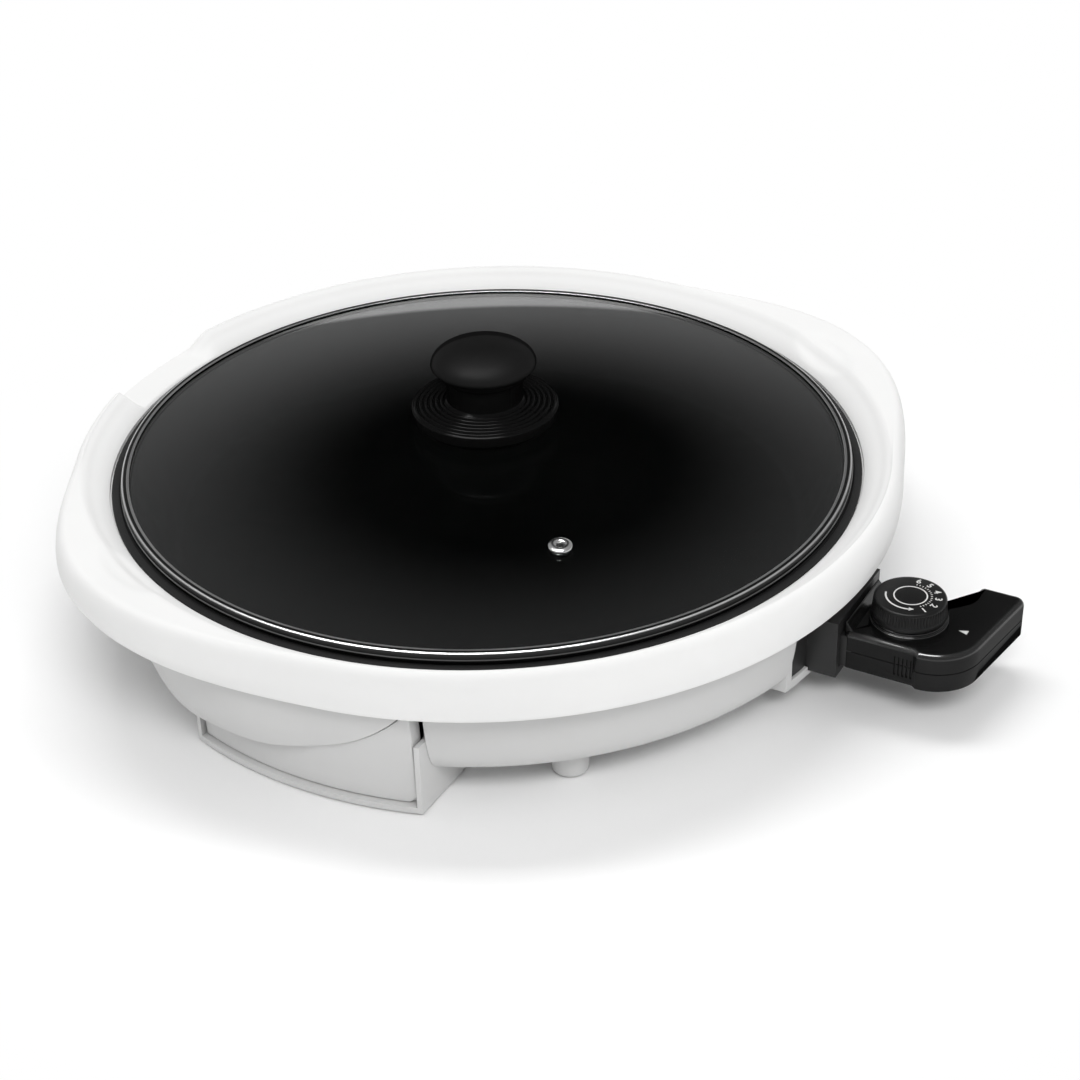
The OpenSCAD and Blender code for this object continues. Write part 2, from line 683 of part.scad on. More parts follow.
// Black heat-proof shroud round the terminals, with a flange that closes the socket
module terminal_shroud() {
    color(black) placed()
        difference() {
            union() {
                translate([shroud_x0, -shroud_hw, shroud_z - shroud_hh])
                    cube([shroud_len, 2 * shroud_hw, 2 * shroud_hh]);
                intersection() {
                    translate([shroud_x0, -flange_hw, flange_z0])
                        cube([shroud_len, 2 * flange_hw, flange_z1 - flange_z0]);
                    cylinder(r = frame_r - 1.5, h = 100, $fn = 180);
                }
            }
            translate([shroud_x0 + shroud_t, -shroud_hw + shroud_t, axis_z - pocket_hh])
                cube([shroud_len, 2 * (shroud_hw - shroud_t), 2 * pocket_hh]);
            for (y = [-pin_y, pin_y])
                translate([shroud_x0 - 1, y, axis_z])
                    rotate([0, 90, 0])
                        cylinder(r = pin_r + 0.2, h = 10, $fn = 48);
            translate([shroud_x0 - 1, 0, axis_z])
                rotate([0, 90, 0])
                    cylinder(r = probe_r + 0.6, h = 10, $fn = 48);
        }
}

// White frame that carries the shroud in the bowl's side
module socket_frame() {
    color(white) placed()
        difference() {
            intersection() {
                translate([shroud_x0, -frame_hw, frame_z0])
                    cube([60, 2 * frame_hw, frame_z1 - frame_z0]);
                cylinder(r = frame_r, h = 100, $fn = 180);
            }
            translate([shroud_x0 - 1, -flange_hw - 0.3, flange_z0 - 0.3])
                cube([60, 2 * flange_hw + 0.6, flange_z1 - flange_z0 + 0.6]);
            translate([shroud_x0 - 1, -shroud_hw - 0.3, shroud_z - shroud_hh - 0.3])
                cube([60, 2 * shroud_hw + 0.6, 2 * shroud_hh + 0.6]);
        }
}

// Bowed wall of the drawer's front, leaning out towards its top
module bowed(t) {
    rotate([0, 0, 180])
        rotate_extrude(angle = 180, $fn = 180)
            polygon([[drawer_r - t, drawer_z], [drawer_r, drawer_z],
                [drawer_r + drawer_lean, ring_low], [drawer_r + drawer_lean - t, ring_low]]);
}

// White drawer with a bowed front panel and a tray for grease
module grease_drawer() {
    tw = drawer_hw - 1;
    color(white) placed()
        translate([drawer_x, 0, 0]) union() {
            intersection() {
                union() {
                    bowed(panel_t);
                    for (x = [-drawer_hw, drawer_hw - panel_t])
                        intersection() {
                            bowed(panel_return);
                            translate([x, -2 * drawer_r, 0])
                                cube([panel_t, 2 * drawer_r, ring_low]);
                        }
                }
                translate([0, -drawer_r / 2, 0])
                    rotate([90, 0, 0])
                        linear_extrude(height = drawer_r)
                            polygon(panel_edge(0, drawer_hw, panel_nick));
            }
            difference() {
                intersection() {
                    translate([-tw, -drawer_r, drawer_z])
                        cube([2 * tw, drawer_r + tray_y1, tray_h]);
                    cylinder(r = drawer_r - panel_t / 2, h = 100, $fn = 180);
                }
                intersection() {
                    translate([-tw + 2, -drawer_r, drawer_z + 2])
                        cube([2 * tw - 4, drawer_r + tray_y1 - 2, tray_h]);
                    cylinder(r = drawer_r - panel_t, h = 100, $fn = 180);
                }
            }
        }
}

// Clear domed glass with holes for the knob and the vent
module lid_glass() {
    color([0.75, 0.8, 0.8, 0.35]) placed()
        difference() {
            intersection() {
                translate([0, 0, dome_top - dome_rad])
                    difference() {
                        sphere(r = dome_rad, $fn = 256);
                        translate([0, 0, -glass_t])
                            sphere(r = dome_rad, $fn = 256);
                    }
                translate([0, 0, glass_z])
                    cylinder(r = glass_r, h = 60, $fn = 256);
            }
            cylinder(r = 3, h = 200, $fn = 48);
            rotate([0, 0, vent_a])
                translate([vent_d, 0, 0])
                    cylinder(r = vent_r - 2.2, h = 200, $fn = 48);
        }
}

// Polished steel band folded round the glass's edge
module lid_band() {
    color(steel) placed()
        rotate_extrude($fn = 256)
            polygon([[lid_r - 1.2, band_z], [lid_r - 0.3, band_z + 0.4], [lid_r, band_z + 1.4],
                [lid_r, band_z + band_h - 1.4], [lid_r - 0.4, band_z + band_h - 0.5],
                [lid_r - 1.4, band_z + band_h],
                [lid_r - band_w, band_z + band_h - 0.1], [lid_r - band_w, band_z + band_h - band_t],
                [lid_r - band_t - 0.2, band_z + band_h - band_t], [lid_r - band_t - 0.2, band_z + band_t],
                [lid_r - band_w, band_z + band_t], [lid_r - band_w, band_z]]);
}

// Steel eyelet of the steam vent
module vent_eyelet() {
    tilt = asin(vent_d / dome_rad);
    color(steel) placed()
        rotate([0, 0, vent_a])
            translate([dome_rad * sin(tilt), 0, dome_top - dome_rad + dome_rad * cos(tilt)])
                rotate([0, tilt, 0])
                    rotate_extrude($fn = 64)
                        polygon([[2, -glass_t - 1], [vent_r - 0.6, -glass_t - 1],
                            [vent_r - 0.6, -glass_t - 0.1],
                            [vent_r - 2.7, -glass_t - 0.1], [vent_r - 2.7, 0.05], [vent_r - 0.3, 0.05],
                            [vent_r, 0.4], [vent_r - 0.3, 0.9], [vent_r - 1.4, 1.4], [vent_r - 2.6, 1.5],
                            [vent_r - 3.6, 1.1], [2, 0.2]]);
}

// Black ridged flange and neck of the lid's knob
module knob_base() {
    z = dome_top;
    r1 = knob_base_r - 0.8;
    r0 = knob_neck_r + 1.2;
    slope = knob_rise / (r1 - r0);
    pitch = (r1 - r0) / knob_ridges;
    color(black) placed()
        difference() {
            rotate_extrude($fn = 128)
                polygon(concat(
                    [[0, z + 0.1], [knob_base_r - 5.7, z + 0.1], [knob_base_r - 5.7, z + knob_lift],
                     [knob_base_r - 1, z + knob_lift], [knob_base_r, z + knob_lift + 1],
                     [knob_base_r, z + knob_base_h - 1.8], [knob_base_r - 0.3, z + knob_base_h - 0.9]],
                    [for (i = [0:knob_ridges - 1]) for (t = [0, 0.15, 0.35, 0.6, 0.8])
                        let (x = (i + t) * pitch, w = sin(180 * min(1, t / 0.8)))
                        [r1 - x, z + knob_base_h + x * slope + 1.1 * w - 0.7]],
                    [[r0, z + knob_base_h + knob_rise - 0.5],
                     [knob_neck_r, z + knob_base_h + knob_rise + 0.6],
                     [knob_neck_r, neck_top], [0, neck_top]]));
            translate([0, 0, z - 1])
                cylinder(r = 2.2, h = knob_base_h + knob_neck_h - 3, $fn = 32);
        }
}

// Black cap of the lid's knob, a shallow dome over a tucked-in underside
module knob_cap() {
    z = neck_top - 1.8;
    r = knob_cap_r;
    rim = 0.37 * knob_cap_h;
    color(black) placed()
        difference() {
            rotate_extrude($fn = 128)
                polygon(concat(
                    [[0, z], [knob_neck_r + 1.4, z], [r - 2.2, z + rim - 2.4], [r - 0.9, z + rim - 1.5],
                     [r - 0.7, z + rim - 0.9], [r - 0.15, z + rim - 0.5]],
                    [for (u = [0:8:88]) [r * cos(u), z + rim + (knob_cap_h - rim) * sin(u)]],
                    [[0, z + knob_cap_h]]));
            translate([0, 0, z - 1])
                cylinder(r = knob_neck_r + 0.1, h = 2.9, $fn = 128);
        }
}

// Screw that holds the knob from under the glass
module knob_screw() {
    z = dome_top - glass_t - 1.6;
    color(steel) placed()
        difference() {
            union() {
                translate([0, 0, z - 2.4])
                    cylinder(r = 4.5, h = 2.4, $fn = 48);
                translate([0, 0, z - 0.5])
                    cylinder(r = 2, h = knob_base_h + 13, $fn = 48);
            }
            for (q = [0, 90])
                rotate([0, 0, q])
                    translate([-3, -0.6, z - 3])
                        cube([6, 1.2, 1.8]);
        }
}

// Soft washer between the knob's screw and the glass
module knob_washer() {
    color(grey) placed()
        translate([0, 0, dome_top - glass_t - 1.6])
            difference() {
                cylinder(r = 12, h = 1.5, $fn = 64);
                translate([0, 0, -1])
                    cylinder(r = 2.3, h = 4, $fn = 48);
            }
}

// Ribbed grip on the near side of the case
module grip_cuts() {
    for (i = [0:4])
        translate([corner_x - 12 + i * 2.1, -case_near - 1, case_z + 4.4])
            cube([1, 1.7, case_h - 10.6]);
}

// Lower half of the controller's case
module case_lower() {
    color(black) placed()
        difference() {
            union() {
                case_slab(case_z, case_z + 2, 0.8);
                case_slab(case_z + 0.8, case_split - 0.1, 0);
            }
            case_slab(case_z + case_t, case_top, case_t);
            grip_cuts();
            translate([case_x0 - 5, -nose_hw, axis_z - nose_hh])
                cube([10.1, 2 * nose_hw, 40]);
            translate([case_x1 - tail_w / 2, tail_y - 8, case_split])
                rotate([-90, 0, 0])
                    cylinder(r = 5, h = 20, $fn = 48);
            for (p = case_screw_at())
                translate([p[0], p[1], case_z - 1])
                    cylinder(r = 3.1, h = 2.2, $fn = 32);
        }
}
function case_screw_at() = [[case_x0 + 10, -case_near + 8], [case_x0 + 10, case_far - 8],
    [case_x1 - tail_w / 2 - 1, tail_y - 14]];

// Upper half of the controller's case with the dial's collar
module case_upper() {
    color(black) placed()
        difference() {
            union() {
                for (t = [[0, 1], [0.12, 0.55], [0.4, 0.2], [0.8, 0]])
                    case_slab(case_split + 0.1, case_top - t[1] * case_bevel, t[0] * case_bevel);
                translate([dial_at, 0, case_top - 1])
                    cylinder(r = dial_r + 0.8, h = collar_h - 0.4, $fn = 96);
                translate([dial_at, 0, case_top - 1])
                    cylinder(r = dial_r - 0.2, h = collar_h + 1, $fn = 96);
                translate([0, case_far - 3, 0])
                    rotate([90, 0, 0])
                        linear_extrude(height = case_far + case_near - 6)
                            polygon([[case_x0, case_top - 2], [case_x0, case_top + 4.4],
                                [case_x0 + 0.9, case_top + 4.4],
                                [case_x0 + 4.6, case_top - 0.2], [case_x0 + 4.6, case_top - 2]]);
            }
            case_slab(case_z, case_top - case_t - 0.4, case_t + 0.4);
            grip_cuts();
            translate([case_x0 - 5, -nose_hw, case_z])
                cube([10.1, 2 * nose_hw, axis_z + nose_hh - case_z]);
            translate([case_x1 - tail_w / 2, tail_y - 8, case_split])
                rotate([-90, 0, 0])
                    cylinder(r = 5, h = 20, $fn = 48);
            translate([dial_at, 0, 0])
                cylinder(r = 3.06, h = 200, $fn = 48);
        }
}

// Plug end that carries the contacts and the probe
module plug_nose() {
    color(black) placed()
        difference() {
            translate([nose_x0, -nose_hw + 0.1, axis_z - nose_hh + 0.1])
                cube([case_x0 + 5 - nose_x0, 2 * nose_hw - 0.2, 2 * nose_hh - 0.2]);
            for (y = [-pin_y, pin_y])
                translate([nose_x0 - 1, y, axis_z])
                    rotate([0, 90, 0])
                        cylinder(r = pin_r + 1.5, h = 24, $fn = 48);
            translate([nose_x0 - 1, 0, axis_z])
                rotate([0, 90, 0])
                    cylinder(r = probe_r + 0.05, h = 24, $fn = 48);
        }
}

// Brass sockets that grip the terminal pins
module contact_sockets() {
    color(brass) placed()
        for (y = [-pin_y, pin_y])
            translate([nose_x0 + 0.6, y, axis_z])
                rotate([0, 90, 0])
                    difference() {
                        cylinder(r = pin_r + 1.4, h = 22, $fn = 48);
                        translate([0, 0, -1])
                            cylinder(r = pin_r + 0.3, h = 21.5, $fn = 48);
                    }
}

// Stainless temperature probe
module probe() {
    color(steel) placed()
        translate([nose_x0 - probe_len, 0, axis_z])
            rotate([0, 90, 0])
                union() {
                    translate([0, 0, 2])
                        cylinder(r = probe_r, h = probe_len + 20, $fn = 48);
                    cylinder(r1 = probe_r - 1.6, r2 = probe_r, h = 2, $fn = 48);
                }
}

// Snap switch on the floor of the case, under the dial
module thermostat_switch() {
    color(brass) placed()
        translate([dial_at - 12, -10, case_z + case_t])
            union() {
                cube([30, 20, 3]);
                translate([4, 4, 2.5])
                    cube([22, 12, 4]);
            }
}

// Rubber gland where the cord leaves the tail
module cord_gland() {
    color(grey) placed()
        translate([case_x1 - tail_w / 2, tail_y - 5, case_split])
            rotate([-90, 0, 0])
                rotate_extrude($fn = 48)
                    polygon([[3.2, 0], [6.6, 0], [6.6, 2], [4.9, 2],
                        [4.9, 5.1], [6.2, 5.1], [5.6, 8], [3.2, 8]]);
}

// Screws under the controller's case
module case_screws() {
    color(steel) placed()
        for (p = case_screw_at())
            translate([p[0], p[1], case_z + 0.3])
                difference() {
                    cylinder(r = 2.9, h = 0.9, $fn = 32);
                    for (q = [0, 90])
                        rotate([0, 0, q])
                            translate([-1.8, -0.4, -1])
                                cube([3.6, 0.8, 1.5]);
                }
}

// Pale triangle that the dial's marks are read against
module pointer_mark() {
    color(white) placed()
        translate([case_x1 - 17.7, 2.6, case_top])
            linear_extrude(height = 0.25)
                polygon([[-3.4, 0], [2.6, -2.4], [2.6, 2.4]]);
}

// Ribbed thermostat dial
module dial() {
    color(black) placed()
        translate([dial_at, 0, dial_z])
            difference() {
                union() {
                    linear_extrude(height = dial_h - 1.6)
                        polygon([for (i = [0:dial_ribs - 1]) for (t = [[0, 0], [0.3, 0], [0.5, 1], [0.8, 1]])
                            let (a = (i + t[0]) * 360 / dial_ribs, r = dial_r - rib_depth * t[1])
                            [r * cos(a), r * sin(a)]]);
                    translate([0, 0, dial_h - 2])
                        cylinder(r = dial_r - rib_depth, h = 0.9, $fn = 96);
                    translate([0, 0, dial_h - 1.1])
                        cylinder(r1 = dial_r - rib_depth, r2 = dial_r - rib_depth - 1.1, h = 1.1, $fn = 96);
                }
                translate([0, 0, -1])
                    cylinder(r = 3.02, h = dial_h - 1.5, $fn = 48);
                translate([0, 0, -1])
                    difference() {
                        cylinder(r = dial_r - 3.4, h = dial_h - 2, $fn = 96);
                        cylinder(r = 5.5, h = dial_h, $fn = 48);
                    }
            }
}

// Spindle that turns the switch
module dial_spindle() {
    color(steel) placed()
        translate([dial_at, 0, case_z + case_t + 7])
            cylinder(r = 3, h = dial_z + dial_h - 3.5 - case_z - case_t - 7, $fn = 48);
}

top_ring();
base_bowl();
bottom_plate();
plate_screws();
drawer_housing();
housing_screws();
feet();
foot_pads();
pan();
pan_floor();
heating_element();
element_straps();
terminal_pins();
probe_sleeve();
terminal_shroud();
socket_frame();
grease_drawer();
lid_glass();
lid_band();
vent_eyelet();
knob_base();
knob_cap();
knob_screw();
knob_washer();
case_lower();
case_upper();
plug_nose();
contact_sockets();
probe();
thermostat_switch();
cord_gland();
case_screws();
pointer_mark();
dial();
dial_spindle();
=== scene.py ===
import json
import math

import bmesh
import bpy
from mathutils import Matrix, Vector


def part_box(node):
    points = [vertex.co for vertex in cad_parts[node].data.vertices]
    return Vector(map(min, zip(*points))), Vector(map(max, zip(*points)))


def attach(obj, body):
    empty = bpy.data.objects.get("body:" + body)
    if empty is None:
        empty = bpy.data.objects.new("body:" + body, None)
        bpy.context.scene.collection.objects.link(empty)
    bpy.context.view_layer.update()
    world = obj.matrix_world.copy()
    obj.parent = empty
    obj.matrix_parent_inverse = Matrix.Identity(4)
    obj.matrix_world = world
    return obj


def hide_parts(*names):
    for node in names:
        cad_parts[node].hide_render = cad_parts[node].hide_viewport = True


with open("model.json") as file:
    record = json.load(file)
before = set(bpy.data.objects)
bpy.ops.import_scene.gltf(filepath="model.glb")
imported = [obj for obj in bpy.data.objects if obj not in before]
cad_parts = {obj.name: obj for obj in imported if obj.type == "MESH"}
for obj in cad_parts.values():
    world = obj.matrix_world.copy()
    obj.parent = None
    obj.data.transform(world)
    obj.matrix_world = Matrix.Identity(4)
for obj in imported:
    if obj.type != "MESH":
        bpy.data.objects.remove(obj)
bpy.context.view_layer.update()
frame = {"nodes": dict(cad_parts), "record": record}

# Sizes below are in millimetres, measured from the pan's axis, as in the part's source.
# Bearings are in degrees.
MM = 0.001
PAN_LOW, PAN_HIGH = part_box("pan")
AXIS_X = (PAN_LOW.x + PAN_HIGH.x) / 2 / MM
AXIS_Y = (PAN_LOW.y + PAN_HIGH.y) / 2 / MM

# Pan
PAN_R, RIM_Z, PAN_T = 198.0, 75.6, 3.0
FLOOR_R, FLOOR_Z, LEDGE_Z = 162.0, 37.6, 73.4
FLANGE_BAND, FLANGE_STEP = 4.0, 0.8
DRAIN_X, DRAIN_Y, DRAIN_R = 10.0, -138.0, 6.0

# Lid: a painted dark reflection line runs round the band's top, the bead round its side
LID_R, BAND_Z, BAND_H, BAND_W, BAND_T = 192.8, 75.1, 6.3, 5.0, 0.7
BAND_LIP, BAND_ROLL, PAINTED_LINE_IN = 4.3, 2.3, 2.9
BEAD_DROP, BEAD_OUT = 3.6, 0.4
GLASS_R, GLASS_T, GLASS_BORE, GLASS_EDGE = 191.6, 4.0, 3.0, 0.6
DOME_TOP, DOME_RISE = 97.0, 17.0
DOME_RAD = (GLASS_R ** 2 + DOME_RISE ** 2) / (2 * DOME_RISE)
VENT_D, VENT_A, VENT_R, VENT_BORE = 121.5, 317.0, 6.0, 2.0

# Ring
RING_IN, RING_R = 199.0, 219.5
RING_TOP, RING_LOW, RING_WIDE = 86.5, 61.0, 70.6
SHOULDER, WALL, LEDGE_W, LEDGE_DROP = 6.5, 2.5, 6.0, 5.0
CREST_IN, CREST_DROP = 13.2, 0.6
REAR_HANDLE, FRONT_HANDLE = 54.5, 244.5
HANDLE_OUT, HANDLE_LIFT, HANDLE_TUCK = 17.3, 2.7, 5.0
HANDLE_FLAT, HANDLE_END = 1.5, 34.5
DIMPLE_DEPTH, DIMPLE_A, DIMPLE_W, DIMPLE_MID = 2.0, 8.0, 10.0, 12.0
NOTCH_A0, NOTCH_A1, NOTCH_Z = 169.5, 192.6, 1.4
NOTCH_SLOPE, NOTCH_STEP = 5.0, 1.4
COARSE_STEP = 0.75

# Bowl: steps of its side as (distance in, share of the height), and the wall's shares inward
# and upward where the side turns into the floor
BOWL_Z, BOWL_IN, PLATE_R, FLANGE_LOW = 17.0, 13.5, 160.0, 62.0
BOWL_STEPS = [(21, 0), (14.5, 0.012), (9.5, 0.05), (6.4, 0.12), (4.3, 0.22), (2.8, 0.36),
              (1.5, 0.55), (0.6, 0.78)]
BOWL_TURN = [(0.05, 1), (0.35, 0.93), (0.65, 0.7), (0.85, 0.4)]
HOOD_A, HOOD_OUT, HOOD_FLAT, HOOD_END = 262.0, 10.0, 5.0, 24.0
HOOD_SIDE_A, HOOD_SIDE, HOOD_SIDE_FLAT, HOOD_SIDE_END = 278.0, 5.4, 9.0, 15.0

# Drawer
DRAWER_X, DRAWER_HW, DRAWER_R, DRAWER_Z = 10.0, 61.0, 204.0, 4.9
DRAWER_LEAN, PANEL_T = 3.4, 3.0
PANEL_LOW, PANEL_SLOPE, PANEL_CLIMB, PANEL_POWER = 20.6, 10.6, 29.1, 4.6
PANEL_RETURN, PANEL_NICK = 8.0, 3.6
TRAY_HW, TRAY_H, TRAY_Y1, TRAY_WALL, TRAY_CORNER = 60.0, 15.0, -77.0, 2.0, 5.0
HOUSING_HW, HOUSING_Y1, PANEL_GAP, PART_GAP = 64.7, -74.0, 0.8, 0.3

# Socket and thermostat
SOCKET_X, FRAME_HW, FRAME_Z0, FRAME_Z1 = 186.0, 47.3, 13.8, 55.8
CASE_X0, CASE_X1, CASE_HW, CASE_NEAR, CASE_FAR = 214.0, 284.7, 25.5, 23.6, 24.5
CASE_CORNER, CASE_SLANT, CASE_ROUND, CASE_TURN = 25.0, 6.5, 3.0, 8
TAIL_Y, TAIL_W, TAIL_FILLET, TAIL_ROUND = 46.5, 24.0, 10.0, 5.0
CORNER_X = CASE_X1 - CASE_SLANT - CASE_CORNER
CASE_Z, CASE_TOP, CASE_SPLIT, CASE_BEVEL = 20.6, 42.0, 31.3, 3.2
SEAM, SPLIT_GAP = 0.25, 0.1
GRIPS, GRIP_X, GRIP_PITCH, GRIP_W, GRIP_DEPTH = 5, 12.0, 2.1, 1.0, 0.7
POINTER_X, POINTER_Y = 17.7, 2.6
COLLAR_H, COLLAR_STEP = 4.0, 1.4

# Dial and its print
DIAL_X, DIAL_R, DIAL_Z, DIAL_H = 239.3, 18.8, 46.3, 10.6
DIAL_RIBS, RIB_DEPTH, RIB_WAVE = 72, 0.5, (0, 0, 0.35, 1, 1, 0.35)
PRINT_T, PRINT_Z = 0.12, DIAL_Z + DIAL_H - 0.06
TICKS, TICK_HALF = range(-42, 95, 9), 1.2
NUMBERS, NUMBER_R, NUMBER_SIZE = (-42, -15, 12, 39, 66, 93), 13.6, 5.0

# Knob
KNOB_BASE_R, KNOB_BASE_H, KNOB_FOOT, KNOB_LIFT, KNOB_RISE = 38.7, 11.2, 5.7, 4.0, 2.2
KNOB_RIDGES, RIDGE_STEPS, RIDGE_H, RIDGE_SINK = 6, 11, 1.1, 0.7
KNOB_NECK_R, KNOB_NECK_TOP, KNOB_CAP_R, KNOB_CAP_H = 20.0, 125.8, 27.7, 19.0

# Photo camera: pitch and roll in degrees, place relative to the lid's middle
VIEW_TURN, CAM_PITCH, CAM_ROLL = 29.5, 32.05, -1.61
CAM_AT, LID_PLANE_Z, FOCAL = (26.8, -1017.8, 578.6), 80.0, 73.33

# Black screen that the lid reflects: direction (right, away, up) and half sizes
SCREEN_AT, SCREEN_WIDE, SCREEN_TALL = (0.0, 0.82, 0.57), 0.2, 0.23
ROOM_GREY, AMBIENT = 0.31, 0.38
HORIZON_LOW, HORIZON_HIGH = 0.15, 0.163
FLOOR_HALF, SHADOW_NEAR, SHADOW_FAR = 15.0, 0.24, 0.42

# Lamps in the photo's frame, in metres: place, aim, size and power
LAMPS = {
    "overhead": ((-0.2, 0.7, 2.0), (0, 0, 0), (1.6, 0.5), 19.5),
    "front_high": ((0.3, -1.5, 1.8), (0, 0, 0.05), (1.4, 0.7), 22),
    "front_low": ((-0.5, -2.3, 0.6), (0, 0, 0.05), (1.8, 0.6), 2),
    "right_fill": ((2.0, -0.5, 1.2), (0, 0, 0.05), (1.2, 0.8), 6),
    "left_fill": ((-2.2, 0.1, 1.0), (0, 0, 0.05), (1.2, 0.8), 5.5),
}
SHEEN = ((-0.4, -0.25, 2.05), (0, 0, 0), (1.7, 0.7), 50)
SHINY_PIECES = ("case_crown", "case_collar", "case_ramp", "case_tub", "dial_form", "knob_flange",
                "knob_crown", "band_form", "vent_form")

# CAD nodes that stay in view, and how far their edges are rounded
ROUNDED_NODES = {"drawer_housing": 0.6, "socket_frame": 0.7, "terminal_shroud": 0.8, "feet": 0.5,
                 "bottom_plate": 0.3, "plug_nose": 0.5, "foot_pads": 0.3, "cord_gland": 0.3,
                 "knob_washer": 0.3}


# Meshes

def to_frame(x, y, z):
    """A point in millimetres from the pan's axis, in the row frame in metres."""
    return Vector(((x + AXIS_X) * MM, (y + AXIS_Y) * MM, z * MM))


def closed_mesh(name, verts, faces):
    """A mesh with its doubled points merged and its faces turned outward."""
    mesh = bpy.data.meshes.new(name)
    mesh.from_pydata([to_frame(*v) for v in verts], [], faces)
    work = bmesh.new()
    work.from_mesh(mesh)
    bmesh.ops.remove_doubles(work, verts=work.verts, dist=1e-7)
    bmesh.ops.recalc_face_normals(work, faces=work.faces)
    work.to_mesh(mesh)
    work.free()
    return mesh


def placed(name, data):
    """An object in the scene."""
    thing = bpy.data.objects.new(name, data)
    bpy.context.scene.collection.objects.link(thing)
    return thing


def build(name, verts, faces, body, slot, nodes=(), sharp=32, paint=None):
    """A closed mesh piece that rides on a body and stands for CAD nodes."""
    mesh = closed_mesh(name, verts, faces)
    shade(mesh, sharp)
    mesh.materials.append(FINISH[paint or slot])
    piece = placed(name, mesh)
    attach(piece, body)
    if nodes:
        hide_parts(*nodes)
    return piece


def shade(mesh, sharp):
    """Smooth shading with sharp edges above an angle in degrees."""
    mesh.polygons.foreach_set("use_smooth", [True] * len(mesh.polygons))
    mesh.set_sharp_from_angle(angle=math.radians(sharp))
    mesh.update()


def bevelled(piece, width):
    """Rounds a piece's sharp edges, width in millimetres."""
    bevel = piece.modifiers.new("Rounding", "BEVEL")
    bevel.width = width * MM
    bevel.segments = 3
    bevel.limit_method = "ANGLE"
    bevel.angle_limit = math.radians(32)
    bevel.use_clamp_overlap = True
    bevel.harden_normals = True


def cut(piece, cutters, sharp=32):
    """Cuts closed meshes, given as (verts, faces), out of a piece."""
    made = [placed("cutter", closed_mesh("cutter", *cutter)) for cutter in cutters]
    for cutter in made:
        tool = piece.modifiers.new("Cut", "BOOLEAN")
        tool.operation = "DIFFERENCE"
        tool.solver = "EXACT"
        tool.object = cutter
    graph = bpy.context.evaluated_depsgraph_get()
    result = bpy.data.meshes.new_from_object(piece.evaluated_get(graph))
    piece.modifiers.clear()
    piece.data = result
    shade(result, sharp)
    for cutter in made:
        mesh = cutter.data
        bpy.data.objects.remove(cutter)
        bpy.data.meshes.remove(mesh)


def joined(*parts):
    """One list of vertices and faces from several."""
    verts, faces = [], []
    for v, f in parts:
        start = len(verts)
        verts += v
        faces += [tuple(i + start for i in face) for face in f]
    return verts, faces


def revolve(profile, steps=192, middle=(0.0, 0.0)):
    """A closed profile of (radius, height) turned about an upright axis."""
    verts, rings = [], []
    for r, z in profile:
        if r < 1e-6:
            rings.append([len(verts)] * steps)
            verts.append((middle[0], middle[1], z))
            continue
        rings.append(range(len(verts), len(verts) + steps))
        for k in range(steps):
            a = 2 * math.pi * k / steps
            verts.append((middle[0] + r * math.cos(a), middle[1] + r * math.sin(a), z))
    faces = []
    for p, q in zip(rings, rings[1:] + rings[:1]):
        for k in range(steps):
            n = (k + 1) % steps
            face = list(dict.fromkeys((p[k], q[k], q[n], p[n])))
            if len(face) > 2:
                faces.append(tuple(face))
    return verts, faces


def loft(rows):
    """A closed ring of closed sections, given as rows of points."""
    verts = [p for row in rows for p in row]
    n, m = len(rows), len(rows[0])
    faces = []
    for i in range(n):
        here, after = i * m, ((i + 1) % n) * m
        faces += [(here + j, after + j, after + (j + 1) % m, here + (j + 1) % m) for j in range(m)]
    return verts, faces


def stack(loops):
    """Closed loops one above another, joined and capped at both ends."""
    verts = [p for loop in loops for p in loop]
    n, m = len(loops), len(loops[0])
    faces = []
    for i in range(n - 1):
        here, after = i * m, (i + 1) * m
        faces += [(here + j, here + (j + 1) % m, after + (j + 1) % m, after + j) for j in range(m)]
    faces.append(tuple(range(m)))
    faces.append(tuple(range((n - 1) * m, n * m)))
    return verts, faces


def raised(outline, heights):
    """A flat outline of (x, y) stood up between heights."""
    return stack([[(x, y, z) for x, y in outline] for z in heights])


def box(x0, x1, y0, y1, z0, z1):
    """A closed box, for cutting."""
    return raised([(x0, y0), (x1, y0), (x1, y1), (x0, y1)], (z0, z1))


def rounded(points, steps=5):
    """A closed outline whose points (x, y, radius) are turned into arcs."""
    out = []
    for i, (x, y, *radius) in enumerate(points):
        if not radius:
            out.append((x, y))
            continue
        b = Vector((x, y))
        u = Vector(points[i - 1][:2]) - b
        v = Vector(points[(i + 1) % len(points)][:2]) - b
        half = u.angle(v) / 2
        reach = min(radius[0] / math.tan(half), 0.49 * u.length, 0.49 * v.length)
        u.normalize()
        v.normalize()
        centre = b + (u + v).normalized() * (reach / math.cos(half))
        start, end = b + u * reach - centre, b + v * reach - centre
        turn = start.angle_signed(end)
        first = math.atan2(start.y, start.x)
        for k in range(steps + 1):
            a = first - turn * k / steps
            out.append((centre.x + start.length * math.cos(a),
                        centre.y + start.length * math.sin(a)))
    return out


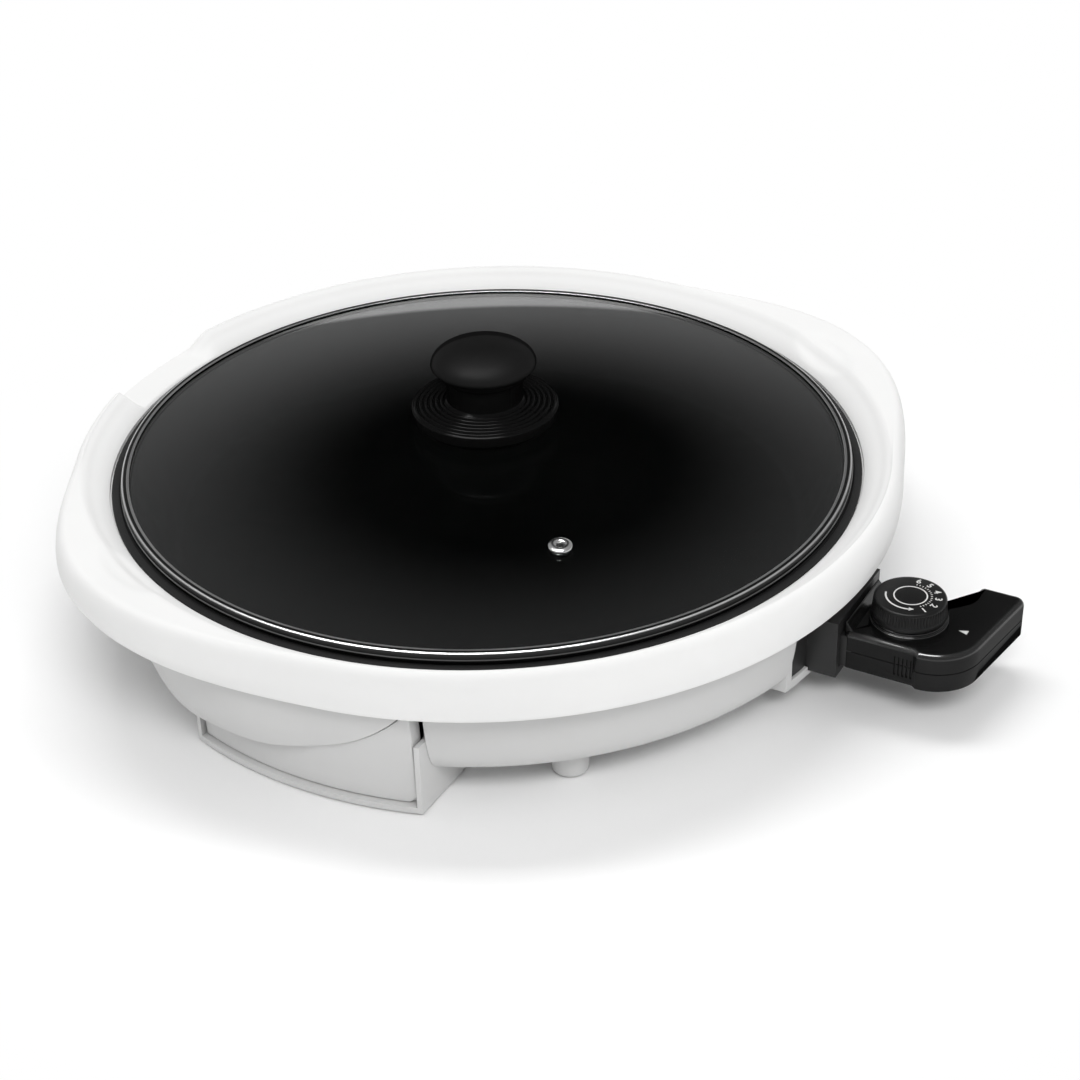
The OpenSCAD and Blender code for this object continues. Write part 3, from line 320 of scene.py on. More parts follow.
def flowing(points, steps=4):
    """A smooth open curve through points, spaced by their distances."""
    pts = [Vector(p) for p in points]
    pts = [2 * pts[0] - pts[1]] + pts + [2 * pts[-1] - pts[-2]]
    out = []
    for i in range(1, len(pts) - 2):
        p0, p1, p2, p3 = pts[i - 1:i + 3]
        t1 = math.sqrt((p1 - p0).length)
        t2 = t1 + math.sqrt((p2 - p1).length)
        t3 = t2 + math.sqrt((p3 - p2).length)
        for k in range(steps):
            t = t1 + (t2 - t1) * k / steps
            a1 = p0 * ((t1 - t) / t1) + p1 * (t / t1)
            a2 = p1 * ((t2 - t) / (t2 - t1)) + p2 * ((t - t1) / (t2 - t1))
            a3 = p2 * ((t3 - t) / (t3 - t2)) + p3 * ((t - t2) / (t3 - t2))
            b1 = a1 * ((t2 - t) / t2) + a2 * (t / t2)
            b2 = a2 * ((t3 - t) / (t3 - t1)) + a3 * ((t - t1) / (t3 - t1))
            out.append(tuple(b1 * ((t2 - t) / (t2 - t1)) + b2 * ((t - t1) / (t2 - t1))))
    out.append(tuple(pts[-2]))
    return out


def arc(x, y, r, a0, a1, steps):
    """Points on an arc, angles in degrees."""
    angles = [math.radians(a0 + (a1 - a0) * k / steps) for k in range(steps + 1)]
    return [(x + r * math.cos(a), y + r * math.sin(a)) for a in angles]


# Materials

def feed(tree, socket, value):
    """Links a socket to another one, or sets it to a value."""
    if isinstance(value, bpy.types.NodeSocket):
        tree.links.new(value, socket)
    else:
        socket.default_value = value


def add(tree, kind, inputs=None, **settings):
    """A shader node whose inputs are values or other sockets."""
    node = tree.nodes.new("ShaderNode" + kind)
    for name, value in settings.items():
        setattr(node, name, value)
    for key, value in (inputs or {}).items():
        feed(tree, node.inputs[key], value)
    return node


def remap(tree, value, low, high, start=0.0, end=1.0, kind="LINEAR"):
    """A value between low and high, stretched to run from start to end."""
    values = {"Value": value, "From Min": low, "From Max": high, "To Min": start, "To Max": end}
    return add(tree, "MapRange", values, interpolation_type=kind).outputs["Result"]


def maths(tree, operation, *values):
    return add(tree, "Math", dict(enumerate(values)), operation=operation).outputs["Value"]


def ramp(tree, value, stops):
    """A colour ramp over a value, with stops of (position, colour)."""
    node = add(tree, "ValToRGB", {"Fac": value})
    elements = node.color_ramp.elements
    for i in (0, -1):
        elements[i].position, elements[i].color = stops[i]
    for position, colour in stops[1:-1]:
        elements.new(position).color = colour
    return node.outputs["Color"]


def mixed(tree, share, a, b):
    """Colour b laid over colour a by a share."""
    return add(tree, "Mix", {"Factor": share, "A": a, "B": b}, data_type="RGBA").outputs["Result"]


def noise(tree, place, scale, detail, distortion=0.0):
    values = {"Vector": place, "Scale": scale, "Detail": detail, "Distortion": distortion}
    return add(tree, "TexNoise", values).outputs["Fac"]


def upward(tree, vector):
    """The upward part of a vector."""
    return add(tree, "SeparateXYZ", {"Vector": vector}).outputs["Z"]


def finish(name, colour, rough, tint=0.06, tint_scale=18.0, spread=0.06, grain=0.08,
           grain_scale=1400.0, metallic=0.0, level=0.5, grazing=0.0, edge=0.0, speckle=0.0):
    """A moulded, coated or metal surface with its own mottling, sheen and grain."""
    mat = bpy.data.materials.new(name)
    mat.use_nodes = True
    tree = mat.node_tree
    place = add(tree, "TexCoord").outputs["Object"]

    dim = [c * (1 - tint) for c in colour] + [1]
    pale = [min(1, c * (1 + tint)) for c in colour] + [1]
    paint = ramp(tree, noise(tree, place, tint_scale, 5.0), [(0.3, dim), (0.7, pale)])
    if speckle:
        flakes = add(tree, "TexVoronoi", {"Vector": place, "Scale": 700.0}).outputs["Distance"]
        share = remap(tree, flakes, 0.26, 0.1, 0.0, speckle)
        paint = mixed(tree, share, paint, (0.16, 0.16, 0.165, 1))
    smear = noise(tree, place, 42.0, 6.0, 0.6)
    sheen = remap(tree, smear, 0.3, 0.7, max(0.0, rough - spread), rough + spread)
    skin = noise(tree, place, grain_scale, 2.0)
    relief = add(tree, "Bump", {"Height": skin, "Strength": grain, "Distance": 0.0003})

    shader = tree.nodes["Principled BSDF"].inputs
    feed(tree, shader["Base Color"], paint)
    feed(tree, shader["Metallic"], metallic)
    feed(tree, shader["Roughness"], sheen)
    feed(tree, shader["Normal"], relief.outputs["Normal"])
    feed(tree, shader["Specular IOR Level"], level)
    if grazing:
        facing = add(tree, "LayerWeight", {"Blend": 0.5}).outputs["Facing"]
        gloss = remap(tree, facing, 0.0, grazing, level, 0.0)
        if edge:
            gloss = maths(tree, "MULTIPLY_ADD", edge_mask(tree), edge, gloss)
        feed(tree, shader["Specular IOR Level"], gloss)
    return mat


def edge_mask(tree):
    """1 on the rounded edges of the case's top, 0 on its level and upright faces."""
    surface = add(tree, "NewGeometry").outputs
    black, white = (0, 0, 0, 1), (1, 1, 1, 1)
    band = ramp(tree, upward(tree, surface["Normal"]),
                [(0.15, black), (0.4, white), (0.93, white), (0.985, black)])
    height = upward(tree, surface["Position"])
    high = remap(tree, height, (CASE_TOP - 6) * MM, (CASE_TOP - 5) * MM)
    return maths(tree, "MULTIPLY", band, high)


def band_finish(name):
    """Rolled steel band, polished on top, with painted dark reflections: a dark line round its top
    and darkened sides.
    """
    mat = finish(name, (0.8, 0.8, 0.8), 0.34, tint=0.03, spread=0.02, metallic=1.0, grain=0.0)
    tree = mat.node_tree
    base = tree.nodes["Principled BSDF"].inputs["Base Color"]
    steel = base.links[0].from_socket
    tilt = upward(tree, add(tree, "NewGeometry").outputs["Normal"])
    top = remap(tree, tilt, 0.56, 0.8)
    place = add(tree, "TexCoord").outputs["Object"]
    centre = {0: place, 1: (1, 1, 0), 2: (-AXIS_X * MM, -AXIS_Y * MM, 0)}
    across = add(tree, "VectorMath", centre, operation="MULTIPLY_ADD").outputs["Vector"]
    radius = add(tree, "VectorMath", {0: across}, operation="LENGTH").outputs["Value"]
    painted_line_r = LID_R - PAINTED_LINE_IN
    outer = remap(tree, radius, (painted_line_r - 0.1) * MM, (painted_line_r + 0.1) * MM)
    level = remap(tree, tilt, 0.97, 0.99, 0.0, -1.0)
    off_painted_line = maths(tree, "MULTIPLY_ADD", outer, level, 1.0)
    bright = maths(tree, "MULTIPLY", top, off_painted_line)
    # Painted dark reflection: near-black base colour on the band's upright sides and on a line round
    # its top
    feed(tree, base, mixed(tree, bright, (0.05, 0.05, 0.05, 1), steel))
    return mat


def glass_finish(name):
    """Clear tempered glass with a faint grey body and wiped-on smears."""
    mat = finish(name, (0.64, 0.655, 0.655), 0.012, tint=0.01, spread=0.01, grain=0.0)
    shader = mat.node_tree.nodes["Principled BSDF"]
    shader.inputs["Transmission Weight"].default_value = 1.0
    shader.inputs["IOR"].default_value = 1.5
    return mat


def grey(value):
    return (value, value, value)


WHITE = dict(tint=0.012, level=0.22, grazing=0.8)
LOOKS = {
    "white_plastic": dict(colour=(0.84, 0.84, 0.835), rough=0.4, grain=0.05, **WHITE),
    # Painted shade: a darker copy of the white plastic, for the base that sits in the ring's shade
    "white_plastic_shaded": dict(colour=(0.63, 0.63, 0.627), rough=0.42, grain=0.06, **WHITE),
    "foot_rubber": dict(colour=grey(0.05), rough=0.75, tint=0.2, grain=0.3),
    "nonstick": dict(colour=(0.022, 0.022, 0.0222), rough=0.45, tint=0.12, grain=0.14, level=0.2,
                     speckle=0.1),
    "heater_sheath": dict(colour=(0.16, 0.15, 0.14), rough=0.5, tint=0.25, metallic=1.0),
    "zinc_steel": dict(colour=(0.62, 0.62, 0.6), rough=0.38, tint=0.1, metallic=1.0),
    "bright_steel": dict(colour=grey(0.72), rough=0.2, tint=0.04, metallic=1.0, grain=0.03),
    "heatproof_plastic": dict(colour=grey(0.017), rough=0.42, tint=0.2, grain=0.2, level=0.4),
    "knob_gloss": dict(colour=grey(0.003), rough=0.16, tint=0.2, spread=0.04, grain=0.02, level=0.1,
                       grazing=0.7),
    "knob_matte": dict(colour=grey(0.006), rough=0.5, tint=0.15, grain=0.22, grain_scale=2200.0,
                       level=0.12, grazing=0.7),
    "knob_rubber": dict(colour=grey(0.04), rough=0.7, tint=0.2, grain=0.25),
    "case_plastic": dict(colour=grey(0.005), rough=0.15, tint=0.2, spread=0.03, grain=0.03,
                         level=0.25, grazing=0.75, edge=0.7),
    "dial_plastic": dict(colour=grey(0.007), rough=0.34, tint=0.2, grain=0.12, grain_scale=2400.0,
                         level=0.2),
    "brass": dict(colour=(0.72, 0.52, 0.22), rough=0.3, tint=0.12, metallic=1.0),
    "gland_rubber": dict(colour=grey(0.012), rough=0.62, tint=0.2, grain=0.2),
    "pale_print": dict(colour=(0.66, 0.66, 0.65), rough=0.5, tint=0.1, tint_scale=900.0, grain=0.1),
}
FINISH = {name: finish(name, **look) for name, look in LOOKS.items()}
FINISH["lid_glass"] = glass_finish("lid_glass")
FINISH["polished_band"] = band_finish("polished_band")


# Ring and bowl

def ease(t):
    """0 to 1 with soft ends."""
    t = min(1.0, max(0.0, t))
    return t * t * (3 - 2 * t)


def away(a, b):
    """Angle between two bearings."""
    return abs((a - b + 540) % 360 - 180)


def fade(a, b, flat, end):
    """1 near bearing b, falling to 0 at the angle end."""
    return ease((end - away(a, b)) / (end - flat))


def handle(a):
    """How much of a handle there is at a bearing."""
    return sum(fade(a, b, HANDLE_FLAT, HANDLE_END) for b in (REAR_HANDLE, FRONT_HANDLE))


def notch(a):
    """How much of the finger notch there is at a bearing: a slope in and an upright end."""
    return ease((a - NOTCH_A0) / NOTCH_SLOPE) * (1 - ease((a - NOTCH_A1 + NOTCH_STEP) / NOTCH_STEP))


def dent(a, b, r):
    across, along = away(a, b) / DIMPLE_A, (r - RING_IN - DIMPLE_MID) / DIMPLE_W
    return max(0.0, 1 - across ** 2 - along ** 2)


def dimple(a, r):
    """Depth of the thumb dimples."""
    return DIMPLE_DEPTH * ease(dent(a, REAR_HANDLE, r) + dent(a, FRONT_HANDLE, r))


def formed(points, a, out, notch_floor):
    """Section points lifted at a handle, cut down at the notch and dented by a thumb."""
    rise, low = HANDLE_LIFT * handle(a), notch(a)
    done = []
    for r, z in points:
        z += rise * max(0.0, (r - RING_IN) / (out - RING_IN))
        z -= low * max(0.0, z - notch_floor)
        done.append((r, z - dimple(a, r)))
    return done


def ring_section(a):
    """The ring's section at a bearing: skin, hollow back and the ledge under the pan."""
    out = RING_R + HANDLE_OUT * handle(a)
    tuck = HANDLE_TUCK * handle(a)
    crest, bend = RING_IN + CREST_IN, out - SHOULDER
    skin = [(RING_IN, RIM_Z + 0.3), (RING_IN + 1, RIM_Z + 1.2), (RING_IN + 5, RIM_Z + 4.7),
            (RING_IN + 8.6, RING_TOP - 3.7), (RING_IN + 11, RING_TOP - 1.8)]
    skin += [(crest + t * (bend - crest), RING_TOP - CREST_DROP + CREST_DROP * t)
             for t in (0, 0.35, 0.7)]
    for degrees in range(0, 91, 18):
        u = math.radians(degrees)
        skin.append((bend + SHOULDER * math.sin(u),
                     RING_WIDE + (RING_TOP - RING_WIDE) * math.cos(u)))
    skin += [(out - 0.4 - 0.3 * tuck, (RING_WIDE + RING_LOW) / 2),
             (out - 0.9 - 0.75 * tuck, RING_LOW + 1.3), (out - 1.5 - 0.9 * tuck, RING_LOW + 0.35),
             (out - 2.3 - tuck, RING_LOW)]
    back_in, below = RING_IN + WALL + 0.8, LEDGE_Z - LEDGE_DROP
    back = [(out - 2.2 - WALL - tuck, RING_LOW), (out - WALL - 0.3, RING_WIDE),
            (bend, RING_TOP - WALL), (crest, RING_TOP - WALL - 0.3),
            (RING_IN + 8, RING_TOP - 4.4 - WALL), (back_in, RIM_Z - 0.6)]
    foot = [(back_in, below), (RING_IN, below), (RING_IN, LEDGE_Z - WALL),
            (RING_IN - LEDGE_W, LEDGE_Z - WALL), (RING_IN - LEDGE_W, LEDGE_Z), (RING_IN, LEDGE_Z)]
    return (formed(flowing(skin, 3), a, out, RIM_Z + NOTCH_Z)
            + formed(back, a, out, RIM_Z + NOTCH_Z - WALL) + foot)


def bearings(dense):
    """Bearings round the axis, with closer steps in the ranges (start, end, step)."""
    coarse = [k * COARSE_STEP for k in range(int(360 / COARSE_STEP))]
    half = COARSE_STEP / 2
    kept = [a for a in coarse if not any(lo - half < a < hi + half for lo, hi, _ in dense)]
    for lo, hi, fine in dense:
        count = round((hi - lo) / fine)
        kept += [lo + (hi - lo) * k / count for k in range(count + 1)]
    return sorted(kept)


def about_axis(sections):
    """Sections of (radius, height) by bearing, set out round the axis."""
    rows = []
    for a, section in sections:
        c, s = math.cos(math.radians(a)), math.sin(math.radians(a))
        rows.append([(r * c, r * s, z) for r, z in section])
    return loft(rows)


def make_ring():
    reach = DIMPLE_A + 0.5
    dense = [(b - reach, b + reach, 0.25) for b in (REAR_HANDLE, FRONT_HANDLE)]
    dense += [(NOTCH_A0 - 0.5, NOTCH_A0 + NOTCH_SLOPE + 0.5, 0.25),
              (NOTCH_A1 - NOTCH_STEP - 0.2, NOTCH_A1 + 0.2, 0.1)]
    around = [(a, ring_section(a)) for a in bearings(dense)]
    build("ring_shell", *about_axis(around), "base", "white_plastic", ["top_ring"], sharp=40)


def swell(a):
    """How far the bowl bulges over the drawer, a main lobe blended with a side lobe."""
    main = HOOD_OUT * fade(a, HOOD_A, HOOD_FLAT, HOOD_END)
    blend = fade(a, HOOD_SIDE_A, HOOD_SIDE_FLAT, HOOD_SIDE_END)
    side = HOOD_SIDE * blend
    return (main + side + math.hypot(main - side, blend)) / 2


def bowl_section(a):
    """The bowl's section at a bearing, outside from the floor to the flange, then inside."""
    h = handle(a)
    out = RING_R + HANDLE_OUT * h
    r = RING_R - BOWL_IN + swell(a)
    tall = FLANGE_LOW - BOWL_Z
    flange = FLANGE_LOW + HANDLE_LIFT * h
    edge = max(out - 2.7 - WALL - HANDLE_TUCK * h, r + 2)
    side = [(r - d, BOWL_Z + t * tall) for d, t in BOWL_STEPS]
    skin = flowing(side + [(r, flange)], 3)
    rim = [(edge, flange), (edge, flange + WALL), (r - WALL, flange + WALL)]
    inside = []
    for i, (x, z) in enumerate(side):
        inward, up = BOWL_TURN[i] if i < len(BOWL_TURN) else (1, 0)
        inside.append((x - WALL * inward, z + WALL * up))
    return [(PLATE_R, BOWL_Z)] + skin + rim + inside[::-1] + [(PLATE_R, BOWL_Z + WALL)]


def panel_top(x):
    """Height of the drawer panel's upper edge, which climbs along the hood's lower edge."""
    t = max(0.0, (x + DRAWER_HW + 4) / (2 * DRAWER_HW + 4))
    return PANEL_LOW + PANEL_SLOPE * t + PANEL_CLIMB * t ** PANEL_POWER


def make_bowl():
    around = [(a, bowl_section(a)) for a in bearings([(238, 300, 0.4)])]
    # Painted shade: the bowl takes the darker copy of the white plastic
    bowl = build("bowl_shell", *about_axis(around), "base", "white_plastic", ["base_bowl"],
                 sharp=40, paint="white_plastic_shaded")
    half, count, below = HOUSING_HW + PART_GAP, 80, -20.0
    xs = [half * (1 - 2 * k / count) for k in range(count + 1)]
    edge = [(x, min(panel_top(x) + PANEL_GAP, FLANGE_LOW - 1)) for x in xs]
    edge = [(half, below)] + edge + [(-half, below)]
    rear = HOUSING_Y1 - WALL
    bay = stack([[(DRAWER_X + x, y, z) for x, z in edge] for y in (rear, rear - 150)])
    socket = box(SOCKET_X - 1, SOCKET_X + 60, -FRAME_HW - PART_GAP, FRAME_HW + PART_GAP,
                 FRAME_Z0 - PART_GAP, FRAME_Z1 + PART_GAP)
    cut(bowl, [bay, socket], sharp=40)


# Drawer

def panel_point(x, t, back):
    """A point of the drawer's panel: across, share of its height, distance behind its face."""
    low = DRAWER_Z + max(0.0, x - DRAWER_HW + PANEL_NICK)
    z = low + t * (panel_top(x) - low)
    r = DRAWER_R + DRAWER_LEAN * (z - DRAWER_Z) / (RING_LOW - DRAWER_Z) - back
    return (DRAWER_X + x, -math.sqrt(r * r - x * x), z)


def drawer_panel():
    """Bowed panel with a climbing top edge and returns at its sides."""
    across, up = 72, 16
    inner = DRAWER_HW - PANEL_T
    xs = [(-DRAWER_HW, PANEL_RETURN), (-inner, PANEL_RETURN)]
    xs += [(inner * (2 * i / across - 1), PANEL_T) for i in range(across + 1)]
    xs += [(x, PANEL_RETURN) for x in (inner, DRAWER_HW - PANEL_NICK / 2, DRAWER_HW)]
    rows = []
    for x, back in xs:
        front = [panel_point(x, j / up, 0) for j in range(up + 1)]
        rows.append(front + [panel_point(x, j / up, back) for j in range(up, -1, -1)])
    return stack(rows)


def tray_outline(inset, radius):
    """The tray's outline with its bowed front, drawn in by a width."""
    r, hw, count = DRAWER_R - PANEL_T / 2 - inset, TRAY_HW - inset, 24
    xs = [hw * (2 * i / count - 1) for i in range(count + 1)]
    front = [(x, -math.sqrt(r * r - x ** 2)) for x in xs]
    y = TRAY_Y1 - inset
    rear = rounded([(hw, front[-1][1]), (hw, y, radius), (-hw, y, radius), (-hw, front[0][1])], 6)
    return [(DRAWER_X + x, y) for x, y in front + rear[1:-1]]


def drawer_tray():
    outer = tray_outline(0, TRAY_CORNER)
    inner = tray_outline(TRAY_WALL, TRAY_CORNER - 1.6)
    top, floor = DRAWER_Z + TRAY_H, DRAWER_Z + TRAY_WALL
    levels = [(outer, DRAWER_Z), (outer, top), (inner, top), (inner, floor)]
    return stack([[(x, y, z) for x, y in outline] for outline, z in levels])


def make_drawer():
    # Painted shade: the drawer takes the darker copy of the white plastic
    drawer = build("drawer_form", *joined(drawer_panel(), drawer_tray()), "drawer", "white_plastic",
                   ["grease_drawer"], paint="white_plastic_shaded")
    bevelled(drawer, 0.7)


# Pan and lid

def make_pan():
    top = RIM_Z - FLANGE_STEP
    inside = flowing([(FLOOR_R, FLOOR_Z), (FLOOR_R + 3.4, FLOOR_Z + 0.5), (FLOOR_R + 6, FLOOR_Z + 2),
                      (FLOOR_R + 8, FLOOR_Z + 4.4), (PAN_R - 13.6, top - 4.2),
                      (PAN_R - 11.9, top - 1.4), (PAN_R - 10.6, top - 0.3), (PAN_R - 9, top)], 4)
    rim = rounded([(PAN_R - FLANGE_BAND - 0.6, top, 0.2), (PAN_R - FLANGE_BAND, RIM_Z, 0.35),
                   (PAN_R, RIM_Z, 0.5), (PAN_R, LEDGE_Z, 0.4), (PAN_R - 8.2, LEDGE_Z, 1.0),
                   (PAN_R - 9.8, LEDGE_Z - 1.6)], 4)
    under = flowing([(FLOOR_R + 10.8, FLOOR_Z + 3.2), (FLOOR_R + 8.2, FLOOR_Z - 0.2),
                     (FLOOR_R + 5, FLOOR_Z - 2.2), (FLOOR_R + 1, FLOOR_Z - PAN_T)], 3)
    floor = [(FLOOR_R * k / 12, FLOOR_Z) for k in range(12)]
    profile = floor + inside + rim + under + [(0, FLOOR_Z - PAN_T)]
    pan = build("pan_form", *revolve(profile, 256), "base", "nonstick", ["pan", "pan_floor"])
    low, high = FLOOR_Z - 9, FLOOR_Z + 0.4
    drain = rounded([(0, low), (DRAIN_R, low), (DRAIN_R, FLOOR_Z - 1.2, 2.0), (DRAIN_R + 2.4, high),
                     (0, high)], 5)
    cut(pan, [revolve(drain, 64, (DRAIN_X, DRAIN_Y))])


def dome(r, drop=0.0):
    """Height of the glass at a radius."""
    return DOME_TOP - drop - (DOME_RAD - math.sqrt(DOME_RAD ** 2 - r * r))


def make_glass(vent):
    count = 48
    reach = GLASS_R - GLASS_EDGE - GLASS_BORE
    radii = [GLASS_BORE + reach * k / count for k in range(count + 1)]
    upper = [(r, dome(r)) for r in radii]
    lower = [(r, dome(r, GLASS_T)) for r in reversed(radii)]
    edge = [(GLASS_R, dome(GLASS_R) - GLASS_EDGE), (GLASS_R, dome(GLASS_R, GLASS_T) + GLASS_EDGE)]
    glass = build("glass_form", *revolve(upper + edge + lower, 256), "lid", "lid_glass",
                  ["lid_glass"])
    low, high, r = DOME_TOP - 40, DOME_TOP + 20, VENT_R - 2.2
    cut(glass, [revolve([(0, low), (r, low), (r, high), (0, high)], 48, vent)])


def make_band():
    """Steel band round the glass: rolled top with a lip, beaded side, turned-in foot."""
    top, low = BAND_Z + BAND_H, BAND_Z
    lip, inner, foot = LID_R - BAND_LIP, LID_R - BAND_T, LID_R - BAND_W
    bead, bead_r = top - BEAD_DROP, LID_R + BEAD_OUT
    band = rounded([(LID_R, low, 1.4), (LID_R, bead - 0.6, 0.2), (bead_r, bead - 0.2, 0.15),
                    (bead_r, bead, 0.15), (LID_R, bead + 0.5, 0.2), (LID_R, top, BAND_ROLL),
                    (lip, top, 0.5), (lip, top - BAND_T, 0.15), (LID_R - 1.6, top - BAND_T, 0.15),
                    (inner, top - 2.0, 0.3), (inner, low + BAND_T, 0.7), (foot, low + BAND_T, 0.3),
                    (foot, low, 0.35)], 6)
    build("band_form", *revolve(band, 256), "lid", "polished_band", ["lid_band"])


def make_vent(vent):
    """Steel eyelet, tilted with the glass."""
    under = -GLASS_T - 0.1
    ring = [(VENT_BORE, -GLASS_T - 1), (VENT_R - 0.6, -GLASS_T - 1), (VENT_R - 0.6, under),
            (VENT_R - 2.7, under), (VENT_R - 2.7, 0.05), (VENT_R - 0.3, 0.05)]
    ring += flowing([(VENT_R, 0.4), (VENT_R - 0.3, 0.9), (VENT_R - 1.4, 1.4), (VENT_R - 2.6, 1.5),
                     (VENT_R - 3.6, 1.1), (VENT_BORE, 0.2)], 4)
    verts, faces = revolve(ring, 96)
    tilt = math.asin(VENT_D / DOME_RAD)
    turn = Matrix.Rotation(math.radians(VENT_A), 3, "Z") @ Matrix.Rotation(tilt, 3, "Y")
    seat = Vector((vent[0], vent[1], dome(VENT_D)))
    verts = [tuple(turn @ Vector(v) + seat) for v in verts]
    build("vent_form", verts, faces, "lid", "bright_steel", ["vent_eyelet"])


def make_lid():
    a = math.radians(VENT_A)
    vent = (VENT_D * math.cos(a), VENT_D * math.sin(a))
    make_glass(vent)
    make_band()
    make_vent(vent)


def make_knob_flange():
    """Foot, ridged flange and neck."""
    z, r1, r0 = DOME_TOP, KNOB_BASE_R - 0.8, KNOB_NECK_R + 1.2
    pitch, slope = (r1 - r0) / KNOB_RIDGES, KNOB_RISE / (r1 - r0)
    ridges = []
    for i in range(KNOB_RIDGES):
        for k in range(RIDGE_STEPS):
            t = k / RIDGE_STEPS
            x = (i + t) * pitch
            wave = math.sin(math.pi * min(1.0, t / 0.8))
            ridges.append((r1 - x, z + KNOB_BASE_H + x * slope + RIDGE_H * wave - RIDGE_SINK))
    foot_r, shoulder = KNOB_BASE_R - KNOB_FOOT, z + KNOB_BASE_H + KNOB_RISE
    low = rounded([(0, z + 0.1), (foot_r, z + 0.1, 0.6), (foot_r, z + KNOB_LIFT, 0.5),
                   (KNOB_BASE_R, z + KNOB_LIFT, 1.4), (KNOB_BASE_R, z + KNOB_BASE_H - 1.0, 1.0),
                   ridges[0]], 5)
    neck = rounded([(r0, shoulder - 0.5), (KNOB_NECK_R, shoulder + 0.6, 0.8),
                    (KNOB_NECK_R, KNOB_NECK_TOP), (0, KNOB_NECK_TOP)], 5)
    build("knob_flange", *revolve(low[:-1] + ridges + neck), "lid", "knob_gloss", ["knob_base"],
          sharp=45)


def make_knob_crown():
    """Domed cap with a crease under its rim."""
    z, r, socket = KNOB_NECK_TOP - 1.8, KNOB_CAP_R, KNOB_NECK_R + 0.1
    rise = 0.37 * KNOB_CAP_H
    rim, lip = z + rise, KNOB_NECK_R + 1.4
    under = [(0, z + 1.9), (socket, z + 1.9), (socket, z)]
    under += flowing([(lip, z), (KNOB_NECK_R + 2.9, z + 1.0), (r - 2.2, rim - 2.4),
                      (r - 0.95, rim - 1.5)], 4)
    crease = [(r - 0.75, rim - 1.15), (r - 0.7, rim - 0.9), (r - 0.35, rim - 0.7),
              (r - 0.12, rim - 0.4)]
    crown = []
    for degrees in range(0, 90, 2):
        u = math.radians(degrees)
        crown.append((r * math.cos(u), rim + (KNOB_CAP_H - rise) * math.sin(u)))
    build("knob_crown", *revolve(under + crease + crown + [(0, z + KNOB_CAP_H)]), "lid",
          "knob_matte", ["knob_cap"], sharp=45)


# Thermostat

def case_outline(inset):
    """The thermostat case's outline, drawn in by a width, anticlockwise."""
    small, tail = CASE_ROUND - inset, TAIL_ROUND - inset
    tail_x = CASE_X1 - TAIL_W
    return (arc(CASE_X0 + CASE_ROUND, -CASE_NEAR + CASE_ROUND, small, 180, 270, 8)
            + [(CORNER_X - 2.4, -CASE_NEAR + inset)]
            + arc(CORNER_X, -CASE_HW + CASE_CORNER, CASE_CORNER - inset, 270, 360 - CASE_TURN, 40)
            + arc(CASE_X1 - TAIL_ROUND, TAIL_Y - TAIL_ROUND, tail, -CASE_TURN, 90, 14)
            + arc(tail_x + CASE_ROUND, TAIL_Y - CASE_ROUND, small, 90, 180, 8)
            + arc(tail_x - TAIL_FILLET, CASE_FAR + TAIL_FILLET, TAIL_FILLET + inset, 0, -90, 18)
            + arc(CASE_X0 + CASE_ROUND, CASE_FAR - CASE_ROUND, small, 90, 180, 8))


def case_stack(levels):
    """The case's outline at levels of (height, inset)."""
    return stack([[(x, y, z) for x, y in case_outline(inset)] for z, inset in levels])


def grip_cutters():
    """Upright grooves in the near side."""
    starts = [CORNER_X - GRIP_X + GRIP_PITCH * i for i in range(GRIPS)]
    return [box(x, x + GRIP_W, -CASE_NEAR - 1, -CASE_NEAR + GRIP_DEPTH, CASE_Z + 4.4, CASE_TOP - 6.2)
            for x in starts]


def make_case():
    seam_z = CASE_SPLIT + SPLIT_GAP
    upper = [(seam_z, SEAM), (seam_z + SEAM, 0), (CASE_TOP - CASE_BEVEL, 0)]
    for degrees in range(15, 91, 15):
        u = math.radians(degrees)
        upper.append((CASE_TOP - CASE_BEVEL * (1 - math.sin(u)), CASE_BEVEL * (1 - math.cos(u))))
    top = build("case_crown", *case_stack(upper), "controller", "case_plastic", ["case_upper"],
                sharp=38)
    cut(top, grip_cutters(), sharp=38)
    make_collar()
    make_ramp()

    seam_z = CASE_SPLIT - SPLIT_GAP
    lower = [(CASE_Z, 1.3), (CASE_Z + 0.4, 0.5), (CASE_Z + 1.3, 0), (seam_z - SEAM, 0),
             (seam_z, SEAM)]
    base = build("case_tub", *case_stack(lower), "controller", "case_plastic", ["case_lower"],
                 sharp=38)
    cut(base, grip_cutters(), sharp=38)


def make_collar():
    """Stepped collar under the dial."""
    wide, narrow, top = DIAL_R + 0.8, DIAL_R - 0.2, CASE_TOP + COLLAR_H
    step = top - COLLAR_STEP
    collar = rounded([(0, CASE_TOP - 1), (wide, CASE_TOP - 1), (wide, step, 0.5),
                      (narrow, step, 0.3), (narrow, top, 0.5), (0, top)], 5)
    build("case_collar", *revolve(collar, 160, (DIAL_X, 0)), "controller", "case_plastic")


def make_ramp():
    """Sloping ridge along the plug's end of the case."""
    end, foot, top = CASE_X0 + 0.1, CASE_X0 + 4.6, CASE_TOP + 4.4
    ramp_side = [(end, CASE_TOP - 2), (foot, CASE_TOP - 2), (foot, CASE_TOP - 0.2),
                 (CASE_X0 + 0.95, top), (end, top)]
    ridge = stack([[(x, y, z) for x, z in ramp_side] for y in (-CASE_NEAR + 2.2, CASE_FAR - 2.2)])
    bevelled(build("case_ramp", *ridge, "controller", "case_plastic"), 0.6)


def make_pointer():
    """Small pale triangle let into the top of the case."""
    x, y = CASE_X1 - POINTER_X, POINTER_Y
    shape = [(x - 2.6, y), (x + 1.9, y - 1.7), (x + 1.9, y + 1.7)]
    build("pointer_form", *raised(shape, (CASE_TOP, CASE_TOP + 0.2)), "controller", "pale_print",
          ["pointer_mark"])


